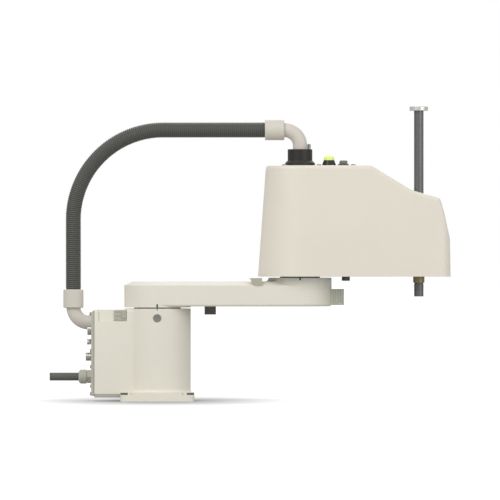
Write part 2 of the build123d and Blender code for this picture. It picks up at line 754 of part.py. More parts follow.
def arm_form():
    """The beam between both hubs, with its sloping top edge."""
    slope_z = ARM_TOP_Z - ARM_CHAMFER_H
    beam = extrude(arm_outline(0, ARM_BOTTOM_Z), slope_z - ARM_BOTTOM_Z)
    low_edges = beam.edges().group_by(Axis.Z)[0]
    beam = fillet(low_edges, ARM_EDGE_R)
    top = loft([arm_outline(0, slope_z), arm_outline(ARM_CHAMFER_W, ARM_TOP_Z)], ruled=True)
    return beam + top


def elbow_hub_rise():
    """The hub stands above the beam and meets it in a hollow curve."""
    hub = disc(ELBOW_HUB_R, ARM_BOTTOM_Z, ELBOW_HUB_TOP_Z, ELBOW_X)
    low_edge = hub.edges().filter_by(GeomType.CIRCLE).sort_by(Axis.Z)[0]
    hub = fillet(low_edge, ARM_EDGE_R)
    foot_r = ELBOW_HUB_R + ELBOW_HUB_FILLET
    outline = [
        (0, ARM_TOP_Z),
        (foot_r, ARM_TOP_Z),
        (ELBOW_HUB_R, ELBOW_HUB_TOP_Z),
        (0, ELBOW_HUB_TOP_Z),
    ]
    skirt = turned(outline, ELBOW_X)
    hollow = Pos(ELBOW_X, 0, ELBOW_HUB_TOP_Z) * Torus(foot_r, ELBOW_HUB_FILLET)
    inside = extrude(arm_outline(ARM_CHAMFER_W, ARM_BOTTOM_Z), ELBOW_HUB_TOP_Z)
    return hub + ((skirt - hollow) & inside)


def arm_pockets():
    """Cells under the beam, between its walls, ribs and both hubs."""
    z1 = ARM_TOP_Z - ARM_ROOF_T
    x0 = ARM_HUB_R - 8
    x1 = ELBOW_X - ELBOW_HUB_R - 4
    inside = extrude(arm_outline(ARM_WALL, ARM_BOTTOM_Z - 1), z1 - ARM_BOTTOM_Z + 1)
    cells = inside & block(x0, x1, -PLATE_SIDE, PLATE_SIDE, ARM_BOTTOM_Z - 1, z1)
    cells -= disc(ARM_HUB_R - 4, ARM_BOTTOM_Z - 1, z1)
    cells -= block(x0, x1, -ARM_RIB_T / 2, ARM_RIB_T / 2, ARM_BOTTOM_Z - 1, z1)
    for x in ARM_RIB_XS:
        cells -= block(x - ARM_RIB_T / 2, x + ARM_RIB_T / 2, -PLATE_SIDE, PLATE_SIDE, ARM_BOTTOM_Z - 1, z1)
    half = STOP_BLOCK_SIDE / 2 + 3
    cells -= block(STOP_BLOCK_X - half, STOP_BLOCK_X + half, -half, half, ARM_BOTTOM_Z - 1, z1)
    return cells


def inner_arm_casting():
    body = arm_form() + elbow_hub_rise()
    body += disc(ARM_HUB_R, ARM_HUB_Z, ARM_BOTTOM_Z + ARM_EDGE_R + 1)
    body += disc(BASE_SPIGOT_R, BASE_SPIGOT_Z, ARM_HUB_Z + 1)
    body -= ring(FLEX_BOSS_R + 4, BASE_SPIGOT_R - 8, BASE_SPIGOT_Z - 1, ARM_TOP_Z - 14)
    body -= arm_pockets()
    seat_r = ELBOW_ROLLER_R + SEAT_GAP / 2 + BEARING_RING_T
    body -= disc(seat_r, ELBOW_BEARING_Z, ELBOW_HUB_TOP_Z + 1, ELBOW_X)
    body -= disc(seat_r - 8, ELBOW_FLOOR_Z, ELBOW_HUB_TOP_Z + 1, ELBOW_X)
    mark_y = -ARM_HUB_R + MARK_DEPTH
    body -= block(-MARK_W, MARK_W, -ARM_HUB_R - 1, mark_y, ARM_HUB_Z - 1, ARM_HUB_Z + ARM_MARK_H)
    elbow_mark = block(
        ELBOW_X - MARK_W,
        ELBOW_X + MARK_W,
        -ELBOW_HUB_R - 1,
        -ELBOW_HUB_R + MARK_DEPTH,
        ELBOW_HUB_TOP_Z - ELBOW_MARK_H,
        ELBOW_HUB_TOP_Z + 1,
    )
    return body - elbow_mark


def base_stop_block():
    half = STOP_BLOCK_SIDE / 2
    body = block(
        STOP_BLOCK_X - half, STOP_BLOCK_X + half, -half, half, ARM_BOTTOM_Z - STOP_BLOCK_H, ARM_BOTTOM_Z
    )
    return fillet(body.edges().filter_by(Axis.Z), 2)


def elbow_stop_block(side, casting):
    """A block on the beam's sloping edge, which the pad under the outer arm meets."""
    points = [
        (ELBOW_STOP_X0, ELBOW_STOP_Z1),
        (ELBOW_STOP_X1, ELBOW_STOP_Z1),
        (ELBOW_STOP_X1, ELBOW_STOP_Z0),
        (ELBOW_STOP_FOOT_X, ELBOW_STOP_Z0),
    ]
    face = make_face(Plane.XZ * Polyline(*points, close=True))
    mid_x = (ELBOW_STOP_X0 + ELBOW_STOP_X1) / 2
    outer_y = ARM_HUB_R + (ELBOW_HUB_R - ARM_HUB_R) * mid_x / ELBOW_X + ELBOW_STOP_PROUD
    body = extrude(face, outer_y, dir=(0, -1, 0))
    body -= block(0, ELBOW_X, ELBOW_STOP_IN - ARM_HUB_R, 1, 0, ELBOW_HUB_TOP_Z + 1)
    body = body - casting
    return body if side < 0 else mirror(body, Plane.XZ)


def elbow_stop_blocks(casting):
    return Compound(children=[elbow_stop_block(-1, casting), elbow_stop_block(1, casting)])


def arm_end_block():
    half = END_BLOCK_HALF_W
    depth = END_BLOCK_RIB_DEPTH
    x1 = ELBOW_X + ELBOW_HUB_R + END_BLOCK_L
    body = block(ELBOW_X + ELBOW_HUB_R / 2, x1, -half, half, END_BLOCK_Z0, END_BLOCK_Z1)
    body -= disc(ELBOW_HUB_R, ARM_BOTTOM_Z - 1, ELBOW_HUB_TOP_Z, ELBOW_X)
    count = int(END_BLOCK_L / END_BLOCK_RIB_PITCH)
    for i in range(count):
        x = x1 - (i + 0.5) * END_BLOCK_RIB_PITCH
        for y in (-half, half):
            body -= block(x - 1, x + 1, y - depth, y + depth, 0, ELBOW_HUB_TOP_Z)
    return body


def elbow_flexspline():
    body = flexspline(ELBOW_GEAR_R, ELBOW_SPIGOT_Z - SEAT_GAP, ELBOW_FLOOR_Z)
    return Pos(ELBOW_X, 0, 0) * body


def elbow_bearing_outer():
    return Pos(ELBOW_X, 0, 0) * bearing_outer_ring(ELBOW_ROLLER_R, ELBOW_BEARING_Z, ELBOW_ROLLER_D)


def elbow_bearing_rollers():
    return bearing_rollers(ELBOW_ROLLER_R, ELBOW_BEARING_Z, ELBOW_ROLLER_D, ELBOW_X)


def elbow_bearing_inner():
    return Pos(ELBOW_X, 0, 0) * bearing_inner_ring(ELBOW_ROLLER_R, ELBOW_BEARING_Z, ELBOW_ROLLER_D)


def elbow_circular_spline():
    return ring(ELBOW_GEAR_R, ELBOW_SPLINE_OUTER_R, ELBOW_GEAR_Z, ELBOW_SPIGOT_Z, ELBOW_X)


def elbow_wave_generator():
    z0 = ELBOW_GEAR_Z + 1
    z1 = ELBOW_SPIGOT_Z - 1.5
    body = wave_plug(ELBOW_GEAR_R, z0, z1)
    for i in range(WAVE_BORE_COUNT):
        angle = math.radians(360 * i / WAVE_BORE_COUNT)
        x, y = ELBOW_WAVE_ORBIT * math.cos(angle), ELBOW_WAVE_ORBIT * math.sin(angle)
        body -= disc(WAVE_BORE_R - 1, z0 - 1, z1 + 1, x, y)
    body += disc(MOTOR_SHAFT_R, z0 - 3, TRAY_TOP_Z + 18)
    return Pos(ELBOW_X, 0, 0) * body


# Outer arm
TRAY_TOP_Z = COVER_BOTTOM_Z + TRAY_FLOOR_T
BUTTON_X = ELBOW_X + LAMP_OUT + LAMP_BASE_R + BUTTON_GAP + BUTTON_BEZEL_R
MOTOR_X = QUILL_X - MOTOR_BACK


def cover_plan(inset, rear_r, nose_half, z):
    """The arm seen from above: a round rear, straight tapering sides and a blunt nose."""
    r0 = rear_r - inset
    r1 = COVER_NOSE_R - inset
    nose_x = QUILL_X + COVER_NOSE_OUT - inset
    cx, cy = nose_x - r1, nose_half - inset - r1
    reach = math.hypot(cx - ELBOW_X, cy)
    tilt = math.atan2(cy, cx - ELBOW_X) + math.acos((r0 - r1) / reach)
    c, s = math.cos(tilt), math.sin(tilt)
    rear = (ELBOW_X + r0 * c, r0 * s)
    side = (cx + r1 * c, cy + r1 * s)
    mid = (cx + r1 * math.cos(tilt / 2), cy + r1 * math.sin(tilt / 2))
    front = (nose_x, cy)

    def low(point):
        return (point[0], -point[1])

    edges = [
        ThreePointArc(rear, (ELBOW_X - r0, 0), low(rear)),
        Line(low(rear), low(side)),
        ThreePointArc(low(side), low(mid), low(front)),
        Line(low(front), front),
        ThreePointArc(front, mid, side),
        Line(side, rear),
    ]
    return Pos(0, 0, z) * make_face(edges)


def cover_side_outline():
    back = ELBOW_X - 2 * COVER_REAR_R
    points = [
        (back, COVER_BOTTOM_Z - 20),
        (back, COVER_TOP_Z),
        (QUILL_X - COVER_SLOPE_BACK, COVER_TOP_Z),
        (QUILL_X - COVER_SHOULDER_BACK, COVER_SHOULDER_Z),
        (QUILL_X + COVER_BROW_OUT, COVER_BROW_Z),
        (QUILL_X + COVER_CHEEK_OUT, COVER_CHEEK_Z),
        (QUILL_X + COVER_CHIN_OUT, COVER_CHIN_Z),
        (QUILL_X + COVER_NOSE_OUT, COVER_BOTTOM_Z - 20),
    ]
    return make_face(Plane.XZ * Polyline(*points, close=True))


def sharp_cover_form(inset):
    """The outer arm's whole form, drawn in by an inset, with sharp upper edges."""
    plans = [
        cover_plan(inset, COVER_REAR_R, COVER_NOSE_HALF_W, COVER_BOTTOM_Z),
        cover_plan(inset, COVER_REAR_TOP_R, COVER_NOSE_TOP_HALF_W, COVER_TOP_Z),
    ]
    outline = cover_side_outline()
    if inset:
        outline = offset(outline, -inset, kind=Kind.INTERSECTION)
    return loft(plans, ruled=True) & extrude(outline, COVER_REAR_R + 20, both=True)


def cover_form(inset):
    form = sharp_cover_form(inset)
    seam_x = ELBOW_X + COVER_REAR_R / 2
    above_chin = form.edges().filter_by(lambda e: e.center().Z > COVER_CHIN_Z + 20)
    rounded = above_chin.filter_by(lambda e: e.center().X > seam_x or e.center().Z > COVER_SHOULDER_Z)
    return fillet(rounded, COVER_EDGE_R - inset)


def top_screw_places():
    return [(ELBOW_X + out, sy * COVER_SCREW_Y) for out in COVER_SCREW_OUTS for sy in (-1, 1)]


def outer_arm_cover(outer):
    body = outer - cover_form(COVER_WALL)
    well = disc(WELL_R + COVER_WALL, WELL_FLOOR_Z - COVER_WALL, COVER_TOP_Z, QUILL_X)
    body += well & outer
    body -= disc(WELL_R, WELL_FLOOR_Z, COVER_TOP_Z, QUILL_X)
    body -= disc(QUILL_R + SEAT_GAP, WELL_FLOOR_Z - 10, COVER_TOP_Z, QUILL_X)
    low_z = COVER_TOP_Z - COVER_WALL - 1
    high_z = COVER_TOP_Z + 1
    body -= disc(SWIVEL_BARREL_R, low_z, high_z, ELBOW_X)
    body -= disc(LAMP_STEM_R, low_z, high_z, ELBOW_X + LAMP_OUT)
    body -= disc(BUTTON_BARREL_R, low_z, high_z, BUTTON_X)
    for x, y in top_screw_places():
        body -= disc(COVER_SCREW_R, low_z, high_z, x, y)
    return body


def outer_arm_casting():
    """A tray that fills the foot of the cover, with the spigot that turns in the elbow bearing."""
    gap = COVER_WALL + RUN_GAP
    rim_z = COVER_BOTTOM_Z + TRAY_RIM_H
    slab = block(0, QUILL_X + 2 * COVER_NOSE_OUT, -PLATE_SIDE, PLATE_SIDE, COVER_BOTTOM_Z, rim_z)
    body = sharp_cover_form(gap) & slab
    body -= sharp_cover_form(gap + TRAY_WALL) & (Pos(0, 0, TRAY_FLOOR_T) * slab)
    body += disc(ELBOW_SPIGOT_R, ELBOW_SPIGOT_Z, COVER_BOTTOM_Z + 1, ELBOW_X)
    body -= disc(ELBOW_SPIGOT_R - 14, ELBOW_SPIGOT_Z - 1, COVER_BOTTOM_Z, ELBOW_X)
    body -= disc(MOTOR_SHAFT_R + 3, ELBOW_SPIGOT_Z - 1, rim_z, ELBOW_X)
    body -= disc(BUSH_R, COVER_BOTTOM_Z - 1, rim_z, QUILL_X)
    return body


def cover_pillars():
    """Pillars from the tray up to the screws in the cover's roof."""
    high_z = COVER_TOP_Z - COVER_WALL
    pillars = []
    for x, y in top_screw_places():
        pillar = disc(PILLAR_R, TRAY_TOP_Z, high_z, x, y)
        pillars.append(pillar - disc(COVER_SCREW_R, high_z - 9, high_z + 1, x, y))
    return Compound(children=pillars)


def cover_screws():
    screws = []
    for x, y in top_screw_places():
        screw = disc(COVER_HEAD_R, COVER_TOP_Z, COVER_TOP_Z + COVER_HEAD_H, x, y)
        screw = fillet(screw.edges().filter_by(GeomType.CIRCLE).sort_by(Axis.Z)[-1], COVER_HEAD_H / 2)
        screw += disc(COVER_SCREW_R, COVER_TOP_Z - COVER_WALL - 8, COVER_TOP_Z, x, y)
        screws.append(screw)
    return Compound(children=screws)


def swivel_fitting():
    """A black flanged fitting, clamped to the roof by a nut, in which the upper elbow turns."""
    step_z = COVER_TOP_Z + SWIVEL_FLANGE_H
    low_z = COVER_TOP_Z - SWIVEL_BARREL_L
    outline = [
        (CONDUIT_R + RUN_GAP, COVER_TOP_Z),
        (SWIVEL_FLANGE_R, COVER_TOP_Z),
        (SWIVEL_FLANGE_R, COVER_TOP_Z + SWIVEL_FLANGE_H / 2),
        (SWIVEL_R, step_z),
        (SWIVEL_R, SWIVEL_TOP_Z - 1),
        (SWIVEL_R - 1, SWIVEL_TOP_Z),
        (CONDUIT_R + RUN_GAP, SWIVEL_TOP_Z),
    ]
    body = turned(outline, ELBOW_X)
    body += ring(CONDUIT_R - CONDUIT_WALL, SWIVEL_BARREL_R, low_z, COVER_TOP_Z, ELBOW_X)
    nut_top = COVER_TOP_Z - COVER_WALL
    body += ring(SWIVEL_BARREL_R - 1, SWIVEL_BARREL_R + 5, nut_top - SWIVEL_NUT_H, nut_top, ELBOW_X)
    return body - clamp_screw_bore()


def clamp_screw_bore():
    return disc(CLAMP_SCREW_R - 1, SWIVEL_TOP_Z - 8, SWIVEL_TOP_Z + 1, ELBOW_X + CLAMP_SCREW_OUT)


def swivel_clamp_screw():
    x = ELBOW_X + CLAMP_SCREW_OUT
    body = disc(CLAMP_SCREW_R, SWIVEL_TOP_Z, SWIVEL_TOP_Z + CLAMP_SCREW_H, x)
    body = chamfer(body.edges().filter_by(GeomType.CIRCLE).sort_by(Axis.Z)[-1], 0.8)
    return body + disc(CLAMP_SCREW_R - 1, SWIVEL_TOP_Z - 8, SWIVEL_TOP_Z, x)


def top_screws():
    return Compound(children=[*cover_screws().solids(), swivel_clamp_screw()])


def lamp_base():
    x = ELBOW_X + LAMP_OUT
    top_z = COVER_TOP_Z + LAMP_BASE_H
    outline = [
        (0, COVER_TOP_Z),
        (LAMP_BASE_R, COVER_TOP_Z),
        (LAMP_BASE_R, COVER_TOP_Z + 2),
        (LAMP_BASE_TOP_R, top_z),
        (0, top_z),
    ]
    body = turned(outline, x)
    body += disc(LAMP_STEM_R, COVER_TOP_Z - 12, COVER_TOP_Z, x)
    return body - disc(LAMP_STEM_R - 2, COVER_TOP_Z - 13, COVER_TOP_Z + 4, x)


def lamp_lens():
    low_z = COVER_TOP_Z + LAMP_BASE_H
    body = disc(LAMP_LENS_R, low_z, low_z + LAMP_LENS_H, ELBOW_X + LAMP_OUT)
    top = body.edges().filter_by(GeomType.CIRCLE).sort_by(Axis.Z)[-1]
    return fillet(top, LAMP_LENS_H * 0.7)


def button_bezel():
    x = BUTTON_X
    body = disc(BUTTON_BEZEL_R, COVER_TOP_Z, COVER_TOP_Z + BUTTON_BEZEL_H, x)
    top = body.edges().filter_by(GeomType.CIRCLE).sort_by(Axis.Z)[-1]
    body = fillet(top, BUTTON_BEZEL_H / 2)
    body += disc(BUTTON_BARREL_R, COVER_TOP_Z - 16, COVER_TOP_Z, x)
    floor_z = COVER_TOP_Z + BUTTON_BEZEL_FLOOR
    body -= disc(BUTTON_R + RUN_GAP, floor_z, floor_z + BUTTON_BEZEL_H, x)
    return body - disc(BUTTON_STEM_R + RUN_GAP, COVER_TOP_Z - 14, COVER_TOP_Z + 1, x)


def brake_button():
    """A domed push button: its head sits in the bezel's ring, its stem in the barrel."""
    x = BUTTON_X
    low_z = COVER_TOP_Z + BUTTON_BEZEL_FLOOR + BUTTON_TRAVEL + RUN_GAP
    body = disc(BUTTON_R, low_z, COVER_TOP_Z + BUTTON_H, x)
    top = body.edges().filter_by(GeomType.CIRCLE).sort_by(Axis.Z)[-1]
    body = fillet(top, 3.5)
    return body + disc(BUTTON_STEM_R, COVER_TOP_Z - 10, low_z, x)


def elbow_motor():
    body = Rot(180, 0, 0) * servo_motor(BIG_MOTOR_SIDE, BIG_MOTOR_L)
    body -= disc(MOTOR_SHAFT_R + RUN_GAP, -1, MOTOR_SHAFT_BORE)
    return Pos(ELBOW_X, 0, TRAY_TOP_Z) * body


def z_motor():
    body = servo_motor(SMALL_MOTOR_SIDE, SMALL_MOTOR_L)
    body -= disc(SMALL_SHAFT_R + RUN_GAP, -SMALL_SHAFT_BORE, 1)
    return Pos(MOTOR_X, MOTOR_Y, Z_PLATE_Z) * body


def r_motor():
    body = Rot(180, 0, 0) * servo_motor(SMALL_MOTOR_SIDE, SMALL_MOTOR_L)
    body -= disc(SMALL_SHAFT_R + RUN_GAP, -1, SMALL_SHAFT_BORE)
    return Pos(MOTOR_X, -MOTOR_Y, R_PLATE_Z + BRACKET_T) * body


def hull_plate(circles, z0, z1):
    """A plate whose outline is stretched round circles of (x, y, radius)."""
    edges = [edge for x, y, r in circles for edge in (Pos(x, y) * Circle(r)).edges()]
    return extrude(Pos(0, 0, z0) * make_hull(edges), z1 - z0)


def motor_bracket():
    """Two plates on posts: the upper one carries the ball nut's bearing, the lower one a motor."""
    reach = SMALL_MOTOR_SIDE / 2
    edge = BRACKET_EDGE
    motor_pads = [(MOTOR_X + sx * reach, MOTOR_Y + sy * reach, edge) for sx in (-1, 1) for sy in (-1, 1)]
    post_x = QUILL_X - QUILL_POST_BACK
    quill_posts = [(post_x, -QUILL_POST_Y), (post_x, QUILL_POST_Y), (QUILL_X + QUILL_POST_OUT, 0)]
    motor_post = (MOTOR_X + MOTOR_POST_OUT, MOTOR_POST_Y)
    z_top = Z_PLATE_Z + BRACKET_T
    body = hull_plate(motor_pads + [(QUILL_X, 0, NUT_R + 3), (*motor_post, POST_PAD_R)], Z_PLATE_Z, z_top)
    quill_pads = [(x, y, POST_PAD_R) for x, y in quill_posts]
    body += hull_plate(quill_pads + [(QUILL_X, 0, BEARING_SHELL_R + edge)], Z_PLATE_Z, z_top)
    for x, y in quill_posts + [motor_post]:
        body += disc(POST_R, TRAY_TOP_Z, Z_PLATE_Z + 1, x, y)
    low_pads = [(x, y - 2 * MOTOR_Y, r) for x, y, r in motor_pads]
    body_low = hull_plate(low_pads, R_PLATE_Z, R_PLATE_Z + BRACKET_T)
    for sx, sy in ((-1, -1), (-1, 1), (1, -1)):
        post_y = -MOTOR_Y + sy * (reach - POST_R)
        body_low += disc(POST_R, TRAY_TOP_Z, R_PLATE_Z + 1, MOTOR_X + sx * reach, post_y)
    body -= disc(BEARING_SHELL_R, Z_PLATE_Z - 1, z_top + 1, QUILL_X)
    body -= disc(SMALL_SHAFT_R + 2, Z_PLATE_Z - 1, z_top + 1, MOTOR_X, MOTOR_Y)
    body_low -= disc(SMALL_SHAFT_R + 2, R_PLATE_Z - 1, R_PLATE_Z + BRACKET_T + 1, MOTOR_X, -MOTOR_Y)
    return Compound(children=[body, body_low])


SPLINE_PULLEY_Z = TRAY_TOP_Z + BEARING_SHELL_H + 4
BALL_NUT_Z = Z_PLATE_Z + BRACKET_T - BEARING_SHELL_H
BALL_PULLEY_Z = Z_PLATE_Z + BRACKET_T + 6
BELT_INSET = (PULLEY_W - BELT_W) / 2


def nut_bearings():
    """The bearing shells of both nuts: one on the tray, one in the bracket."""
    inner = NUT_R + RUN_GAP
    low = ring(inner, BEARING_SHELL_R, TRAY_TOP_Z, TRAY_TOP_Z + BEARING_SHELL_H, QUILL_X)
    high = ring(inner, BEARING_SHELL_R, BALL_NUT_Z, Z_PLATE_Z + BRACKET_T, QUILL_X)
    return Compound(children=[low, high])


def nut(z0, z1):
    return ring(QUILL_R + FIT_GAP, NUT_R, z0, z1, QUILL_X)


def spline_nut():
    body = nut(TRAY_TOP_Z + SEAT_GAP, SPLINE_PULLEY_Z + PULLEY_W)
    flange_z = TRAY_TOP_Z + BEARING_SHELL_H + SEAT_GAP
    return body + ring(NUT_R - 1, NUT_FLANGE_R, flange_z, SPLINE_PULLEY_Z, QUILL_X)


def ball_nut():
    body = nut(BALL_NUT_Z - 4, BALL_PULLEY_Z + PULLEY_W)
    flange_z = Z_PLATE_Z + BRACKET_T + SEAT_GAP
    return body + ring(NUT_R - 1, NUT_FLANGE_R, flange_z, BALL_PULLEY_Z, QUILL_X)


def pulley(bore_r, r, z, x, y):
    """A drum between two thin rims that keep the belt on."""
    body = ring(bore_r, r, z, z + PULLEY_W, x, y)
    for rim_z in (z, z + PULLEY_W - BELT_INSET):
        body += ring(bore_r, r + PULLEY_RIM, rim_z, rim_z + BELT_INSET, x, y)
    return body


def spline_nut_pulley():
    return pulley(NUT_R, SPLINE_PULLEY_R, SPLINE_PULLEY_Z, QUILL_X, 0)


def ball_nut_pulley():
    return pulley(NUT_R, BALL_PULLEY_R, BALL_PULLEY_Z, QUILL_X, 0)


def z_motor_pulley():
    body = pulley(SMALL_SHAFT_R, SMALL_PULLEY_R, BALL_PULLEY_Z, MOTOR_X, MOTOR_Y)
    return body + disc(SMALL_SHAFT_R, Z_PLATE_Z - 12, BALL_PULLEY_Z + PULLEY_W, MOTOR_X, MOTOR_Y)


def r_motor_pulley():
    body = pulley(SMALL_SHAFT_R, SMALL_PULLEY_R, SPLINE_PULLEY_Z, MOTOR_X, -MOTOR_Y)
    return body + disc(SMALL_SHAFT_R, SPLINE_PULLEY_Z, R_PLATE_Z + BRACKET_T + 12, MOTOR_X, -MOTOR_Y)


def belt(motor_y, nut_r, z):
    z0 = z + BELT_INSET + 0.2
    z1 = z + BELT_INSET + BELT_W - 0.2
    around = [(MOTOR_X, motor_y, SMALL_PULLEY_R), (QUILL_X, 0, nut_r)]
    outer = hull_plate([(x, y, r + BELT_T) for x, y, r in around], z0, z1)
    inner = hull_plate([(x, y, r + RUN_GAP) for x, y, r in around], z0 - 1, z1 + 1)
    return outer - inner


def z_belt():
    return belt(MOTOR_Y, BALL_PULLEY_R, BALL_PULLEY_Z)


def r_belt():
    return belt(-MOTOR_Y, SPLINE_PULLEY_R, SPLINE_PULLEY_Z)


def quill_seal_bush():
    return ring(QUILL_R + FIT_GAP, BUSH_R, BUSH_BOTTOM_Z, TRAY_TOP_Z, QUILL_X)


def elbow_stop_pad():
    x = ELBOW_X + STOP_PAD_ORBIT_R
    body = disc(STOP_PAD_R, COVER_BOTTOM_Z - STOP_PAD_H, COVER_BOTTOM_Z, x)
    return chamfer(body.edges().filter_by(GeomType.CIRCLE).sort_by(Axis.Z)[0], 1.0)


# Quill
def quill_shaft():
    top_z = QUILL_TOP_Z - CAP_RIM_H
    body = ring(QUILL_BORE_R, QUILL_R, QUILL_BOTTOM_Z, top_z, QUILL_X)
    relief_z = QUILL_BOTTOM_Z + QUILL_JOURNAL_L
    relief_r = QUILL_R - QUILL_RELIEF_DEPTH
    body -= ring(relief_r, QUILL_R + 1, relief_z, relief_z + QUILL_RELIEF_W, QUILL_X)
    groove_z = relief_z + QUILL_RELIEF_W + 6
    for i in range(SPLINE_GROOVE_COUNT):
        angle = math.radians(360 * i / SPLINE_GROOVE_COUNT + 90)
        orbit = QUILL_R + SPLINE_GROOVE_R * 0.3
        x, y = QUILL_X + orbit * math.cos(angle), orbit * math.sin(angle)
        body -= disc(SPLINE_GROOVE_R, groove_z, top_z - CAP_H, x, y)
    return body


def quill_cap():
    low_z = QUILL_TOP_Z - CAP_H
    body = disc(CAP_R, low_z, QUILL_TOP_Z, QUILL_X)
    body = chamfer(body.edges().filter_by(GeomType.CIRCLE), 0.8)
    body -= disc(QUILL_BORE_R, low_z - 1, QUILL_TOP_Z + 1, QUILL_X)
    return body - disc(QUILL_R, low_z - 1, QUILL_TOP_Z - CAP_RIM_H, QUILL_X)


# Upper conduit
def upper_conduit_elbow():
    bore_r = CONDUIT_R - CONDUIT_WALL
    centre_x = ELBOW_X - CONDUIT_BEND_R
    centre_z = HOSE_Z - CONDUIT_BEND_R
    stand = ring(bore_r, CONDUIT_R, COVER_TOP_Z + SEAT_GAP, centre_z, ELBOW_X)
    quarter = bend(CONDUIT_R, bore_r, centre_x, centre_z, -90, 90)
    seat_x = UPPER_COLLAR_X0 + SOCKET_DEPTH
    run = disc_x(CONDUIT_R, seat_x + SEAT_GAP, centre_x, 0, HOSE_Z)
    run -= disc_x(bore_r, seat_x, centre_x + 1, 0, HOSE_Z)
    return stand + quarter + run


def upper_conduit_collar():
    seat_x = UPPER_COLLAR_X0 + SOCKET_DEPTH
    body = disc_x(COLLAR_R, UPPER_COLLAR_X0, UPPER_COLLAR_X1, 0, HOSE_Z)
    body = chamfer(body.edges().filter_by(GeomType.CIRCLE), 1.5)
    body -= disc_x(HOSE_R + RUN_GAP, UPPER_COLLAR_X0 - 1, seat_x, 0, HOSE_Z)
    return body - disc_x(CONDUIT_R, seat_x - 1, UPPER_COLLAR_X1 + 1, 0, HOSE_Z)


def make_parts():
    inner_casting = inner_arm_casting()
    return {
        "base_casting": base_casting(),
        "rear_panel": rear_panel(),
        "panel_gasket": panel_gasket(),
        "panel_screws": panel_screws(),
        "access_plug": access_plug(),
        "tie_plate": tie_plate(),
        "base_motor": base_motor(),
        "base_circular_spline": base_circular_spline(),
        "base_bearing_outer": base_bearing_outer(),
        "base_bearing_rollers": base_bearing_rollers(),
        "lower_conduit_elbow": lower_conduit_elbow(),
        "lower_conduit_collar": lower_conduit_collar(),
        "umbilical_hose": umbilical_hose(),
        "cable_gland": cable_gland(),
        "power_cable": power_cable(),
        "panel_connectors": panel_connectors(),
        "air_fittings": air_fittings(),
        "interface_board": interface_board(),
        "battery_pack": battery_pack(),
        "base_wave_generator": base_wave_generator(),
        "inner_arm_casting": inner_casting,
        "base_flexspline": base_flexspline(),
        "base_bearing_inner": base_bearing_inner(),
        "base_stop_block": base_stop_block(),
        "elbow_stop_blocks": elbow_stop_blocks(inner_casting),
        "arm_end_block": arm_end_block(),
        "elbow_flexspline": elbow_flexspline(),
        "elbow_bearing_outer": elbow_bearing_outer(),
        "elbow_bearing_rollers": elbow_bearing_rollers(),
        "elbow_wave_generator": elbow_wave_generator(),
        "outer_arm_casting": outer_arm_casting(),
        "outer_arm_cover": outer_arm_cover(cover_form(0)),
        "cover_pillars": cover_pillars(),
        "top_screws": top_screws(),
        "swivel_fitting": swivel_fitting(),
        "lamp_base": lamp_base(),
        "lamp_lens": lamp_lens(),
        "button_bezel": button_bezel(),
        "elbow_motor": elbow_motor(),
        "elbow_circular_spline": elbow_circular_spline(),
        "elbow_bearing_inner": elbow_bearing_inner(),
        "z_motor": z_motor(),
        "r_motor": r_motor(),
        "motor_bracket": motor_bracket(),
        "z_belt": z_belt(),
        "r_belt": r_belt(),
        "nut_bearings": nut_bearings(),
        "quill_seal_bush": quill_seal_bush(),
        "elbow_stop_pad": elbow_stop_pad(),
        "spline_nut": spline_nut(),
        "spline_nut_pulley": spline_nut_pulley(),
        "ball_nut": ball_nut(),
        "ball_nut_pulley": ball_nut_pulley(),
        "z_motor_pulley": z_motor_pulley(),
        "r_motor_pulley": r_motor_pulley(),
        "quill_shaft": quill_shaft(),
        "quill_cap": quill_cap(),
        "upper_conduit_elbow": upper_conduit_elbow(),
        "upper_conduit_collar": upper_conduit_collar(),
        "brake_button": brake_button(),
    }


for name, shape in make_parts().items():
    export_step(shape, f"parts/{name}.step")
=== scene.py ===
# %% [markdown]
# A scara robot in Blender.
# The robot's CAD model comes in as a fixed frame, in metres, with its first axis on the origin.
# Everything here dresses that frame: finishes for its castings, covers and shafts, and a few
# pieces that a mesh shows better than a plain solid, such as the corrugated hose.

# %% Load the frame
import json
import math

import bmesh
import bpy
import numpy as np
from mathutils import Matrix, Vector


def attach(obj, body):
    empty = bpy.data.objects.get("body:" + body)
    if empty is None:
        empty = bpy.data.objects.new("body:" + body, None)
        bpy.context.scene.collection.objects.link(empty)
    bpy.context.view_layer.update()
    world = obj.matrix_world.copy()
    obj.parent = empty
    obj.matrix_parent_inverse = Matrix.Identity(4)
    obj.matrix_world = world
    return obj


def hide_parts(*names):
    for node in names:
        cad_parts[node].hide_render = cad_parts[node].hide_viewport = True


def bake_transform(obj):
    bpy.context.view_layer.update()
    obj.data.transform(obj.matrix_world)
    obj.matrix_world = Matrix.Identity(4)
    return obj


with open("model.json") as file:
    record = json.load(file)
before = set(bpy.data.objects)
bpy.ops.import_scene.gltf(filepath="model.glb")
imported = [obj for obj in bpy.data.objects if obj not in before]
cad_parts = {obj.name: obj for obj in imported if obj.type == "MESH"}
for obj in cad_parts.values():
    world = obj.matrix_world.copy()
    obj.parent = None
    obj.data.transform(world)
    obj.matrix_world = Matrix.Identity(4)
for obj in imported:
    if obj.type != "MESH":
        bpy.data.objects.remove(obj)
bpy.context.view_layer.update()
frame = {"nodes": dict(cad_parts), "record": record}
nodes = frame["nodes"]

# %% [markdown]
# The photograph is a level side view taken from far away, so parallel lines stay parallel.
# A very long lens at a large distance gives that look. The lens follows from the width that
# the picture covers and from the camera's distance.

# %% Camera
MM = 0.001
PIXEL = 2.105 * MM
FRAME_PIXELS = 500
ORIGIN_PIXEL = (157.5, 401.0)
CAMERA_DISTANCE = 20.0
SENSOR = 36.0
CLIP_END = 200.0

view_width = FRAME_PIXELS * PIXEL
view_x = (FRAME_PIXELS / 2 - ORIGIN_PIXEL[0]) * PIXEL
view_z = (ORIGIN_PIXEL[1] - FRAME_PIXELS / 2) * PIXEL

